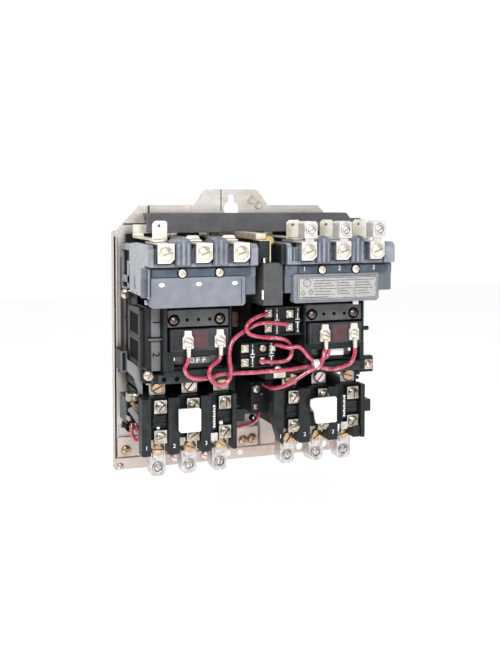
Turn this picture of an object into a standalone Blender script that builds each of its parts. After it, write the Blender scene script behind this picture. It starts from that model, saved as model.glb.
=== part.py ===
"""Open magnetic motor starter: two three-pole contactors side by side on one steel panel,
an overload relay under each, a mechanical interlock and auxiliary contacts between them.

Every separate piece is its own named object.  Dimensions below are in millimetres and are
turned into metres when a mesh is made.  X is right, Y points to the wall, Z is up.  The
wall touches the plane y = 0, and the origin is on the back of the panel's centre channel.
"""
import math

import bmesh
import bpy
from mathutils import Vector

MM = 0.001
GAP = 0.3                     # air between two pieces that rest on each other

# ---- panel ----------------------------------------------------------------------------
PANEL_HALF_WIDTH = 112.0
PANEL_HALF_HEIGHT = 121.0
PANEL_DEPTH = 12.0            # wall to the panel's front face
SHEET = 2.0
CHANNEL_X = (-14.0, 30.0)     # pressed channel whose floor lies on the wall
CHANNEL_TOP = 100.0
EAR_TOP = 136.0

# ---- contactors -----------------------------------------------------------------------
CONTACTOR_X = {"left": -61.6, "right": 61.6}
BLOCK_ENDS = {"left": (-44.0, 48.8), "right": (-48.7, 52.4)}
COVER_LIP = {"left": 4.6, "right": 0.0}
POLE_PITCH = 31.75
TRAVEL = 5.0                  # lift of the armature, crossbar and moving contacts
CONTACT_Z = 67.8              # underside of the fixed contacts
BRIDGE_TOP_Z = CONTACT_Z - TRAVEL - GAP
PAD_Y = -128.0                # front face of the line terminal pads
TAB_Y = -92.0                 # front face of the bus straps' upright tabs
LINE_LUG_Y = -131.5           # front face of the supply lugs
COIL_TERMINALS = (-8.5, 19.1)

# ---- overload relays ------------------------------------------------------------------
OVERLOAD_SHIFT = {"left": 2.4, "right": 1.0}
OVERLOAD_PITCH = 28.6
OVERLOAD_TOP = -41.3
RIBS = {
    "left": ((-45.2, -37.2), (-22.2, -12.2), (6.3, 15.8), (34.8, 38.8)),
    "right": ((-48.8, -39.3), (-24.8, -13.8), (3.2, 13.2), (36.0, 40.2)),
}
PADDLES = {"left": (-14.8, 4.2), "right": (-16.6, 8.4)}
LINK_Y = -73.0                # back face of the tabs that join contactor and relay
LUG_SHIFT = {"left": 3.4, "right": 0.6}
LUG_PITCH = 28.0
LUG_Y = -69.3                 # front face of the load lugs
CLAMP_Z = -105.0              # binding screw of a load lug

WIRE_RADIUS = 1.75


def material(name, finish):
    """One Principled material for one piece, in the colour, metallic value and roughness of its finish."""
    color, metallic, roughness = FINISHES[finish]
    mat = bpy.data.materials.new(name)
    mat.use_nodes = True
    shader = mat.node_tree.nodes["Principled BSDF"]
    shader.inputs["Base Color"].default_value = (*color, 1.0)
    shader.inputs["Metallic"].default_value = metallic
    shader.inputs["Roughness"].default_value = roughness
    return mat


FINISHES = {
    "zinc": ((0.62, 0.60, 0.56), 1.0, 0.42),
    "black": ((0.035, 0.040, 0.040), 0.0, 0.45),
    "block": ((0.16, 0.18, 0.22), 0.0, 0.40),
    "cover": ((0.30, 0.32, 0.37), 0.0, 0.45),
    "fibre": ((0.10, 0.10, 0.105), 0.0, 0.55),
    "grey": ((0.22, 0.22, 0.22), 0.0, 0.50),
    "tin": ((0.74, 0.73, 0.70), 1.0, 0.32),
    "copper": ((0.72, 0.45, 0.28), 1.0, 0.35),
    "brass": ((0.78, 0.60, 0.32), 1.0, 0.30),
    "laminated": ((0.30, 0.30, 0.31), 1.0, 0.45),
    "coil": ((0.16, 0.13, 0.13), 0.0, 0.45),
    "white": ((0.85, 0.85, 0.83), 0.0, 0.45),
    "plate": ((0.60, 0.60, 0.60), 1.0, 0.40),
    "wire": ((0.70, 0.06, 0.10), 0.0, 0.38),
}


# ---- solids ---------------------------------------------------------------------------
def box(x, y, z):
    corners = [(i, j, k) for k in z for j in y for i in x]
    faces = [(0, 2, 3, 1), (4, 5, 7, 6), (0, 1, 5, 4), (2, 6, 7, 3), (0, 4, 6, 2), (1, 3, 7, 5)]
    return corners, faces


def prism(axis, outline, low, high):
    """Extrude a closed outline along one axis; the outline holds the other two coordinates."""
    def point(a, b, c):
        return {"x": (c, a, b), "y": (a, c, b), "z": (a, b, c)}[axis]
    count = len(outline)
    points = [point(a, b, low) for a, b in outline] + [point(a, b, high) for a, b in outline]
    faces = [tuple(range(count)), tuple(range(2 * count - 1, count - 1, -1))]
    faces += [(i, (i + 1) % count, count + (i + 1) % count, count + i) for i in range(count)]
    return points, faces


def rod(axis, centre, radius, low, high, sides=12):
    turn = [2 * math.pi * (i + 0.5) / sides for i in range(sides)]
    outline = [(centre[0] + radius * math.cos(t), centre[1] + radius * math.sin(t)) for t in turn]
    return prism(axis, outline, low, high)


def mesh_object(name, shape):
    points, faces = shape
    mesh = bpy.data.meshes.new(name)
    mesh.from_pydata([tuple(c * MM for c in p) for p in points], [], faces)
    work = bmesh.new()
    work.from_mesh(mesh)
    bmesh.ops.recalc_face_normals(work, faces=work.faces)
    work.to_mesh(mesh)
    work.free()
    obj = bpy.data.objects.new(name, mesh)
    bpy.context.scene.collection.objects.link(obj)
    return obj


def combine(obj, tool, operation):
    """Apply one exact Boolean and throw the tool away."""
    step = obj.modifiers.new("step", "BOOLEAN")
    step.operation = operation
    step.solver = "EXACT"
    step.object = tool
    graph = bpy.context.evaluated_depsgraph_get()
    result = bpy.data.meshes.new_from_object(obj.evaluated_get(graph))
    obj.modifiers.remove(step)
    old = obj.data
    obj.data = result
    bpy.data.meshes.remove(old)
    spare = tool.data
    bpy.data.objects.remove(tool)
    bpy.data.meshes.remove(spare)


def tidy(obj):
    work = bmesh.new()
    work.from_mesh(obj.data)
    bmesh.ops.remove_doubles(work, verts=work.verts, dist=0.000002)
    bmesh.ops.dissolve_limit(work, angle_limit=0.002, verts=work.verts, edges=work.edges)
    bmesh.ops.recalc_face_normals(work, faces=work.faces)
    work.to_mesh(obj.data)
    work.free()


def solid(name, finish, adds, cuts=(), origin=None):
    """Union the adds, take the cuts away, and put the origin on the joint's axis if one is given."""
    obj = mesh_object(name, adds[0])
    for shape in adds[1:]:
        combine(obj, mesh_object("tool", shape), "UNION")
    for shape in cuts:
        combine(obj, mesh_object("tool", shape), "DIFFERENCE")
    tidy(obj)
    obj.name = name
    obj.data.name = name
    obj.data.materials.clear()
    obj.data.materials.append(material(name, finish))
    if origin:
        shift = Vector(origin) * MM
        for vertex in obj.data.vertices:
            vertex.co -= shift
        obj.location = shift
    return obj


def smooth_path(points, steps=3):
    """Pass a Catmull-Rom curve through the listed points."""
    knots = [Vector(p) for p in points]
    knots = [2 * knots[0] - knots[1]] + knots + [2 * knots[-1] - knots[-2]]
    path = []
    for a, b, c, d in zip(knots, knots[1:], knots[2:], knots[3:]):
        for k in range(steps):
            t = k / steps
            path.append(0.5 * (2 * b + (c - a) * t + (2 * a - 5 * b + 4 * c - d) * t * t
                               + (3 * b - a - 3 * c + d) * t ** 3))
    path.append(knots[-2])
    return path


def wire(name, points, sides=8, steps=2):
    """Sweep a round section along a smooth path, with flat ends."""
    path = smooth_path(points, steps)
    tangents = []
    for i in range(len(path)):
        before = path[max(i - 1, 0)]
        after = path[min(i + 1, len(path) - 1)]
        tangents.append((after - before).normalized())
    normal = tangents[0].orthogonal().normalized()
    rings = []
    for here, tangent in zip(path, tangents):
        normal = (normal - tangent * normal.dot(tangent)).normalized()
        side = tangent.cross(normal)
        turn = [2 * math.pi * i / sides for i in range(sides)]
        rings.append([here + WIRE_RADIUS * (normal * math.cos(t) + side * math.sin(t))
                      for t in turn])
    points = [tuple(p) for ring in rings for p in ring]
    faces = []
    for r in range(len(rings) - 1):
        low, high = r * sides, (r + 1) * sides
        faces += [(low + i, low + (i + 1) % sides, high + (i + 1) % sides, high + i)
                  for i in range(sides)]
    faces.append(tuple(range(sides)))
    faces.append(tuple(range(len(points) - 1, len(points) - 1 - sides, -1)))
    obj = mesh_object(name, (points, faces))
    obj.data.materials.append(material(name, "wire"))
    for face in obj.data.polygons:
        face.use_smooth = len(face.vertices) == 4
    return obj


# ---- shared pieces --------------------------------------------------------------------
def panel():
    w, d, s = PANEL_HALF_WIDTH, PANEL_DEPTH, SHEET
    a, b = CHANNEL_X
    lower = [(-w, 0), (-w, -d), (a + s, -d), (a + s, -s), (b - s, -s), (b - s, -d), (w, -d), (w, 0),
             (w - s, 0), (w - s, s - d), (b, s - d), (b, 0), (a, 0), (a, s - d), (s - w, s - d),
             (s - w, 0)]
    upper = [(-w, 0), (-w, -d), (w, -d), (w, 0), (w - s, 0), (w - s, s - d), (s - w, s - d),
             (s - w, 0)]
    top = PANEL_HALF_HEIGHT
    ear = [(-38.5, top - 3), (38.5, top - 3), (25.5, EAR_TOP), (-25.5, EAR_TOP)]
    adds = [
        prism("z", lower, -top, CHANNEL_TOP),
        prism("z", upper, CHANNEL_TOP - 1, top),
        prism("y", ear, -d, s - d),
    ]
    cuts = [
        prism("y", [(-w - 5, 98), (-88.5, top + 3), (-w - 5, top + 3)], -d - 5, 5),
        prism("y", [(w + 5, 98), (88.5, top + 3), (w + 5, top + 3)], -d - 5, 5),
        rod("y", (0, 117.5), 7.5, -d - 5, 5, 20),
        box((-3.2, 3.2), (-d - 5, 5), (118, 131)),
    ]
    cuts += [rod("y", (x, -115), 3.5, -d - 5, -5) for x in (-96, 70, 96)]
    solid("mounting_panel", "zinc", adds, cuts)


def insulating_bar():
    front = (-45.0, -42.5)
    adds = [
        box((-87, 106), front, (97, 114)),
        box((105, 120), front, (97, 109)),
        box((-87, 106), (-45, -16), (112, 114)),
        box((-74, -70), (-43, -PANEL_DEPTH - GAP), (107, 112.5)),
        box((72, 76), (-43, -PANEL_DEPTH - GAP), (107, 112.5)),
    ]
    solid("insulating_bar", "fibre", adds)


def pole_x(side, pole):
    return CONTACTOR_X[side] + 0.5 + POLE_PITCH * (pole - 2)


def overload_x(side, pole):
    return CONTACTOR_X[side] + OVERLOAD_SHIFT[side] + OVERLOAD_PITCH * (pole - 2)


def lug_x(side, pole):
    return CONTACTOR_X[side] + LUG_SHIFT[side] + LUG_PITCH * (pole - 2)


def bus_strap(pole):
    """Flat bar joining the same pole's line terminal on both contactors, behind the cover bar."""
    left, right = pole_x("left", pole), pole_x("right", pole)
    run = -28.0 + 4.0 * (pole - 1)
    adds = [box((left - 5, right + 5), (run, run + 1.5), (96, 104))]
    for x, shift, top in ((left, 3.8 if pole == 1 else 0.0, 108.5 if pole == 1 else 96.0),
                          (right, 0.0, 108.5)):
        tab = x + shift
        adds.append(box((x - 5, x + 5), (TAB_Y, run + 1.5), (92, 93.5)))
        adds.append(box((x - 5, x + 5), (run, run + 1.5), (92, 97)))
        adds.append(box((tab - 6.4, tab + 6.4), (TAB_Y, TAB_Y + 1.5), (91.3, top)))
        adds.append(box((x - 5, x + 5), (TAB_Y - 11, TAB_Y + 1.5), (91.3, 92.8)))
    solid(f"bus_strap_{pole}", "tin", adds)


def interlock():
    housing = [
        box((-6, 11), (-115, -84), (37, 72.7)),
        box((-4, 9), (-86, -14), (37, 42)),
        box((-20.5, 20.5), (-16, -PANEL_DEPTH - GAP), (-78, 84)),
        box((-4.5, 6.2), (-112, -99), (72, 92)),
        rod("y", (0.5, 66), 2.0, -85, -73, 16),
    ]
    solid("interlock_housing", "grey", housing, [box((-4, 9), (-112, -88), (30, 70))])
    rocker = [box((-10.5, 11.5), (-81, -76), (60.3, 64)), rod("y", (0.5, 66), 5.0, -81, -76, 16)]
    bore = rod("y", (0.5, 66), 2.06, -90, -70, 16)
    solid("interlock_rocker", "brass", rocker, [bore], origin=(0.5, -78.5, 66))
    solid("interlock_post", "brass", [rod("y", (6, 90.6), 4.2, -98.5, -16 - GAP, 16)])


def auxiliary_blocks():
    upper = [box((1, 34.8), (-98, -62.4), (9, 34))]
    upper += [box((1, 34.8), (-102, -97), z) for z in ((9, 10.5), (20.5, 22), (32.5, 34))]
    upper += [box(x, (-101.5, -97), (9.5, 33.5)) for x in ((8.5, 14.5), (28, 33))]
    solid("auxiliary_block_upper", "black", upper)
    lower = [
        box((-20, 11), (-96, -60), (-18, 3.5)),
        box((-8, 4), (-62, -16 - GAP), (-12, 0)),
        box((-13, -7), (-100, -95), (-18, 3.5)),
        box((4, 9), (-100, -95), (-18, 3.5)),
    ]
    solid("auxiliary_block_lower", "black", lower)


# ---- one contactor --------------------------------------------------------------------
def contactor_base(side):
    x = CONTACTOR_X[side]
    wall = 28.0 if side == "left" else 26.5
    adds = [
        box((x - 40, x + 40), (-42, -PANEL_DEPTH - GAP), (-38, 45.7)),
        box((x - 40, x + 40), (-37.7, -PANEL_DEPTH - GAP), (45, 88)),
        box((x - 40, x - 37), (-62, -41), (-38, 45.7)),
        box((x + 37, x + 40), (-62, -41), (-38, 45.7)),
        box((x - 40, x - 24.5), (-62, -58), (-29.5, 45.7)),
        box((x + 28.3, x + 40), (-62, -58), (-29.5, 45.7)),
        box((x - wall, x - 24.5), (-104, -58), (-19, 37)),
        box((x + 28.3, x + 30), (-104, -58), (-19, 37)),
        box((x - wall, x + 30), (-104, -58), (-19, -16.2)),
        box((x - wall, x + 30), (-107, -103.5), (-19, 0.7)),
        box((x - wall, x - 25.3), (-107, -103.5), (0, 37)),
        box((x + 28.3, x + 30), (-107, -103.5), (0, 37)),
        box((x - 39, x + 38), (-74, -48), (-29.5, -18.8)),
    ]
    if side == "left":
        adds += [
            box((x - 40, x - 27), (-95, -60), (-17, 37)),
            box((x - 36.5, x - 28.5), (-97, -94), (-16, 36)),
            box((x - 38.5, x - 26.5), (-99, -94), (9.5, 12)),
            box((x - 44, x - 39), (-88, -40), (-14, 34)),
        ]
    else:
        adds.append(box((x + 38, x + 54), (-66, -60), (-34, -21)))
    window = box((x - 20, x + 26), (-110, -103.8), (-15, -3.5))
    solid(f"contactor_base_{side}", "black", adds, [window])


def arc_block(side):
    x = CONTACTOR_X[side]
    low, high = x + BLOCK_ENDS[side][0], x + BLOCK_ENDS[side][1]
    middles = [pole_x(side, 1) + POLE_PITCH / 2, pole_x(side, 2) + POLE_PITCH / 2]
    barrier = [(-122, 72), (-122, 84), (-117, 90), (-50, 90), (-46, 85), (-46, 72)]
    tall = [(-122, 72), (-122, 89.6), (-117, 95.6), (-96, 95.6), (-94, 90), (-50, 90), (-46, 85), (-46, 72)]
    adds = [
        box((low, high), (-106.5, -38), (70, 73)),
        box((low, low + 3), (-106.5, -38), (46, 71)),
        box((high - 3, high), (-106.5, -38), (46, 71)),
        box((low, high), (-41, -38), (46, 71)),
        prism("x", barrier, low, low + 4.5),
        prism("x", barrier, x + 41.5, high),
        box((low, high), (-118, -112), (71.3, 86)),
    ]
    for middle in middles:
        adds.append(prism("x", tall, middle - 7, middle + 7))
        adds.append(box((middle - 1, middle + 1), (-106.5, -87), (56, 71)))
        adds.append(box((middle - 1, middle + 1), (-68, -50), (61.5, 71)))
    for number in (1, 2, 3):
        at = pole_x(side, number)
        adds.append(box((at - 6, at + 6), (-125.9, -117), (73.5, 88.5)))
    slot_x = (high - 4, high + 1) if side == "left" else (low - 1, low + 4)
    solid(f"arc_block_{side}", "block", adds, [box(slot_x, (-82, -74), (49, 61))])


def arc_cover(side):
    x = CONTACTOR_X[side]
    low, high = x + BLOCK_ENDS[side][0], x + BLOCK_ENDS[side][1]
    adds = [
        box((low - COVER_LIP[side], high - 0.5), (-118, -110.3), (62, 71)),
        box((x - 42, x + 38.2), (-119.5, -110.3), (38.5, 62.5)),
        box((low - COVER_LIP[side], high - 0.5), (-116, -110.3), (47, 62.5)),
    ]
    adds += [rod("y", (x + s * 15.75, 66.4), 4.4, -120.4, -117.5) for s in (-1, 1)]
    solid(f"arc_cover_{side}", "cover", adds)


def magnet(side):
    x = CONTACTOR_X[side]
    left_leg, right_leg = (x - 20, x - 10), (x + 14, x + 24)
    depth = (-92, -70)
    core = [box((x - 20, x + 24), depth, (24, 34)), box(left_leg, depth, (11.3, 25)),
            box(right_leg, depth, (11.3, 25))]
    solid(f"magnet_core_{side}", "laminated", core)
    armature = [box((x - 20, x + 24), depth, (-13, -4.5)), box(left_leg, depth, (-6, 6)),
                box(right_leg, depth, (-6, 6))]
    solid(f"armature_{side}", "laminated", armature, origin=(x + 2, -81, -9))
    coil = [box((x - 23, x + 27.5), (-108, -62), (1, 19))]
    for offset in COIL_TERMINALS:
        at = x + offset
        coil.append(box((at - 4.7, at + 4.7), (-111, -107), (3, 17)))
        coil.append(rod("y", (at, 9), 4.0, -113.4, -110.5))
        coil.append(box((at - 1.6, at + 1.6), (-113, -110.2), (-2.2, 6)))
    leg_ways = [box((x - 21, x - 9), (-93, -69), (-5, 25)),
                box((x + 13, x + 25), (-93, -69), (-5, 25))]
    solid(f"coil_{side}", "coil", coil, leg_ways)
    retainer = [box((x - 25, x + 27.5), (-106.3, -104.3), (21, 35))]
    retainer += [rod("y", (x + 0.3 + s * 19.8, 26.7), 4.6, -109, -106) for s in (-1, 1)]
    solid(f"magnet_retainer_{side}", "grey", retainer)


def crossbar(side):
    x = CONTACTOR_X[side]
    wide = (x - 20, x + 24)
    adds = [
        box((x - 40, x + 40.5), (-84, -72), (50, 55)),
        box(wide, (-84, -52), (50, 55)),
        box(wide, (-57, -52), (-15.8, 54)),
        box(wide, (-103, -52), (-15.8, -13.3)),
        box((x - 6, x + 12.4), (-103, -100.5), (-15.8, -4.3)),
    ]
    pin = (x + 40, -9) if side == "left" else (10, x - 39)
    adds.append(box(pin, (-80, -76), (51, 54.5)))
    for pole in (1, 2, 3):
        at = pole_x(side, pole)
        adds.append(box((at - 5, at + 5), (-82, -74), (54, BRIDGE_TOP_Z - 2.8)))
    solid(f"crossbar_{side}", "black", adds, origin=(x + 2, -78, 52))


def pole(side, number):
    at = pole_x(side, number)
    link = overload_x(side, number)
    top = BRIDGE_TOP_Z
    bridge = [box((at - 4, at + 4), (-96, -60), (top - 2.5, top - 0.8)),
              box((at - 3.5, at + 3.5), (-95.5, -89), (top - 1, top)),
              box((at - 3.5, at + 3.5), (-67, -60.5), (top - 1, top))]
    solid(f"moving_contact_{side}_{number}", "copper", bridge, origin=(at, -78, top))
    contact = (CONTACT_Z, CONTACT_Z + 1.6)
    line = [
        box((at - 6.75, at + 6.75), (PAD_Y, PAD_Y + 1.8), (75, 91)),
        box((at - 5.5, at + 5.5), (PAD_Y + 1, -79.3), (89.2, 91)),
        box((at - 4, at + 4), (-110, -108.4), (CONTACT_Z, 90)),
        box((at - 4, at + 4), (-110, -88), contact),
        rod("y", (at, 83), 5.8, PAD_Y - 3.5, PAD_Y + 0.2),
    ]
    cuts = []
    if side == "right":
        line.append(box((at - 4, at + 4), (PAD_Y, PAD_Y + 1.6), (90, 106)))
        line.append(box((at - 6, at + 6), (LINE_LUG_Y, LINE_LUG_Y + 14.5), (93.7, 108)))
        line.append(rod("y", (at, 100.8), 4.8, LINE_LUG_Y - 1.6, LINE_LUG_Y + 0.2))
        cuts.append(box((at - 4.6, at + 4.6), (PAD_Y + 1.6, LINE_LUG_Y + 13), (93, 109)))
    solid(f"line_terminal_{side}_{number}", "tin", line, cuts)
    load = [
        box((at - 4, at + 4), (-68, -44.5), contact),
        box((at - 4, at + 4), (-46.1, -44.5), (-32, CONTACT_Z + 1.6)),
        box((at - 4, at + 4), (LINK_Y - 0.5, -44.5), (-32, -30.4)),
        box((link - 7, link + 7), (LINK_Y - 1.6, LINK_Y), (-41, -30.4)),
        rod("y", (link, -34), 5.4, LINK_Y - 5.5, LINK_Y - 1.4),
    ]
    solid(f"load_strap_{side}_{number}", "tin", load)


# ---- one overload relay ---------------------------------------------------------------
def overload(side):
    x = CONTACTOR_X[side] + OVERLOAD_SHIFT[side]
    top = OVERLOAD_TOP
    body = [box((x - 41, x + 38), (-80, -PANEL_DEPTH - GAP), (-78, top))]
    body += [box((x + low, x + high), (-88, -75.2), (-90, top)) for low, high in RIBS[side]]
    for number in (1, 2, 3):
        at = overload_x(side, number)
        body.append(box((at - 5.7, at + 5.7), (-86.5, -79), (-54.5, -42.5)))
        body.append(box((at - 5.7, at + 5.7), (-86.5, -79), (-80.5, -68)))
    body.append(box((x - 52, x - 40), (-58, -30), (-68, -45)))
    body.append(box((x + 38, x + 47), (-86, -76), (-67, -56)))
    way = box((x - 13.8, x - 8.6), (-92, -61), (-62.6, -57.4))
    solid(f"overload_body_{side}", "black", body, [way])
    low, high = PADDLES[side]
    bottom = -70 if side == "left" else -72
    face = [(x + low, -50), (x + high, -50), (x + high, bottom), (x + low, bottom)]
    if side == "right":
        face = [(x + low, -49), (x + high, -49), (x + high, bottom), (x + low + 5, bottom),
                (x + low + 1.5, -58)]
    paddle = [prism("y", face, -96, -92.5), box((x - 13.2, x - 9.2), (-93, -65), (-62, -58))]
    solid(f"reset_paddle_{side}", "white", paddle, origin=(x - 11.2, -80, -60))
    for number in (1, 2, 3):
        at = lug_x(side, number)
        lug = [(at - 7, -93), (at - 7, -107), (at - 4, -113),
               (at + 4, -113), (at + 7, -107), (at + 7, -93)]
        adds = [
            prism("y", lug, LUG_Y, LUG_Y + 15),
            box((at - 4.7, at + 4.7), (LUG_Y - 1.3, LUG_Y + 0.3), (-96, -78.3)),
            rod("y", (at, -88.5), 4.6, LUG_Y - 4.7, LUG_Y - 0.9),
            rod("y", (at, CLAMP_Z), 4.8, LUG_Y - 1.7, LUG_Y + 0.3),
        ]
        wire_way = box((at - 5, at + 5), (LUG_Y + 2.8, LUG_Y + 13.3), (-118, -95.5))
        solid(f"load_lug_{side}_{number}", "tin", adds, [wire_way])


# ---- control wires --------------------------------------------------------------------
def control_wires():
    wire("wire_coil_to_coil", [
        (-70.1, -111.9, -3.6), (-71.6, -112.5, -8), (-74, -113, -12.5), (-72, -113.5, -17.5),
        (-67.5, -114, -20.5), (-59.5, -114, -21.5), (-50.5, -113, -21), (-40, -112, -19),
        (-12, -111.5, -19.5), (19.5, -111.5, -19), (33.5, -111, -17.8), (42.5, -110.8, -17.6),
        (51, -112, -19.5), (59.5, -112, -21), (69, -112, -19.5), (77, -112, -16),
        (80.2, -112, -9), (80.7, -111.8, -3.4)])
    wire("wire_coil_to_upper_block", [
        (-42.5, -111.9, -3.6), (-45, -113.3, -7.4), (-51.5, -116, -11), (-54.5, -117.5, -16),
        (-53, -118, -22), (-48.5, -118, -26), (-42.5, -118, -27), (-37.5, -117.5, -23.5),
        (-35.5, -117, -17), (-35.6, -114.5, -9), (-35, -112, -1), (-32.5, -110, 6.5),
        (-27, -108.5, 11.5), (-18.5, -107, 15.8), (-9, -106, 20.2), (2, -105, 21),
        (21, -104.5, 18.5)])
    wire("wire_upper_to_lower_block", [
        (2, -104, 29), (-8, -107.5, 27), (-16.5, -110.5, 23.5), (-20.2, -112, 18.5),
        (-17.5, -111.5, 13.5), (-10.5, -109, 10.8), (1, -107, 8.6), (12, -107, 7.5),
        (19.5, -107, 4), (23, -107, -3), (20.5, -107, -10.5), (12.5, -106, -13),
        (2, -104.5, -12.5), (-5.5, -103.5, -11.5)])
    wire("wire_lower_block_to_coil", [
        (9.8, -102.5, 1.8), (14, -107.5, 0.8), (19.5, -111.5, -0.5), (26.5, -112.5, 0.5),
        (32, -112, -3.5), (37, -112.2, -9.5), (42.5, -112.5, -13.2), (48.5, -112.3, -12.6),
        (54.4, -111.8, -8.5), (55.8, -111.8, -3.4)])
    wire("wire_overload_to_coil", [
        (9.5, -70, -37), (7.5, -85, -37), (8.5, -100, -36.5), (13, -108, -34.3),
        (20, -112, -30.5), (28.5, -114, -25), (36, -115, -20.6), (42, -115.2, -18),
        (45.8, -116.4, -15.6), (48.4, -116.4, -10), (49.6, -115.2, -6.4), (50.2, -113.6, -3.6)])


def nameplate():
    x = CONTACTOR_X["right"]
    solid("nameplate", "plate", [box((x - 38.3, x + 35.6), (-120.6, -119.8), (41, 60.4))])


def main():
    for obj in list(bpy.data.objects):
        bpy.data.objects.remove(obj)
    panel()
    insulating_bar()
    interlock()
    auxiliary_blocks()
    nameplate()
    for number in (1, 2, 3):
        bus_strap(number)
    for side in ("left", "right"):
        contactor_base(side)
        arc_block(side)
        arc_cover(side)
        magnet(side)
        crossbar(side)
        for number in (1, 2, 3):
            pole(side, number)
        overload(side)
    control_wires()


main()
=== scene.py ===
"""Looks of the open two-contactor magnetic motor starter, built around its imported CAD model.

Shapes are made in millimetres in the model's own frame (X right, Y into the wall, Z up) and
turned into metres when a piece is finished.  Places come from the CAD nodes' boxes.
"""

import math

import bmesh
import bpy
from mathutils import Matrix, Vector


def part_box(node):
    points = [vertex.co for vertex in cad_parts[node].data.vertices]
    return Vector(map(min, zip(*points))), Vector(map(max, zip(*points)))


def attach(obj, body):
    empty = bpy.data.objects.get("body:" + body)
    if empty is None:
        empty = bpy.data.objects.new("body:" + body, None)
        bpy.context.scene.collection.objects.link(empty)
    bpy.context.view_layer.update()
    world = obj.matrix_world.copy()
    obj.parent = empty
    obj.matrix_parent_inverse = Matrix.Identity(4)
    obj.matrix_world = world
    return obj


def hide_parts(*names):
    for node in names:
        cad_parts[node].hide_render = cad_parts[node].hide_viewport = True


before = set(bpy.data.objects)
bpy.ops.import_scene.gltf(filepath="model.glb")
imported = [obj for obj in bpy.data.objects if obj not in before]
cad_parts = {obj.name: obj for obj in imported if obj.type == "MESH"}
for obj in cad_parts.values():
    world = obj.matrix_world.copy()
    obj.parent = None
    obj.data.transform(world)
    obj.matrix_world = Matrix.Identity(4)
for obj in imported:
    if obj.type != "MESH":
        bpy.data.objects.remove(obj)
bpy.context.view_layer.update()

MM = 0.001
SIDES = ("left", "right")
POLES = (1, 2, 3)
STARTER = "starter"


# ======================================================================== places
class Box:
    """A CAD node's box in millimetres."""

    def __init__(self, node):
        low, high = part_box(node)
        self.x0, self.y0, self.z0 = (c / MM for c in low)
        self.x1, self.y1, self.z1 = (c / MM for c in high)


def middle_x(node):
    box = Box(node)
    return (box.x0 + box.x1) / 2


PANEL = Box("mounting_panel")
PANEL_FRONT = PANEL.y0
SEAT = PANEL_FRONT - 0.3        # backs of the mouldings that stand on the panel
COIL_LEFT_END = 23.0            # from a contactor's middle to its coil's left end
CENTRE = {side: Box(f"coil_{side}").x0 + COIL_LEFT_END for side in SIDES}
POLE_X = {(s, n): middle_x(f"line_terminal_{s}_{n}") for s in SIDES for n in POLES}
OVERLOAD_X = {"left": CENTRE["left"] + 2.4, "right": CENTRE["right"] + 1.0}
OVERLOAD_PITCH = 28.6


def heater_x(side, number):
    """Middle of one of the overload relay's three terminal columns."""
    return OVERLOAD_X[side] + OVERLOAD_PITCH * (number - 2)


def new_object(name, data):
    made = bpy.data.objects.new(name, data)
    bpy.context.scene.collection.objects.link(made)
    return made


# ======================================================================== materials
def rgb(code):
    """A display colour such as #ded7ca, as the linear values that a shader takes."""
    def linear(c):
        return c / 12.92 if c <= 0.04045 else ((c + 0.055) / 1.055) ** 2.4
    return tuple(linear(int(code[k:k + 2], 16) / 255) for k in (1, 3, 5)) + (1.0,)


def stops(colours, *places):
    """A ramp's stops from its colours, at the usual places for a noise value."""
    return list(zip(places or (0.3, 0.5, 0.72), map(rgb, colours.split())))


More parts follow.
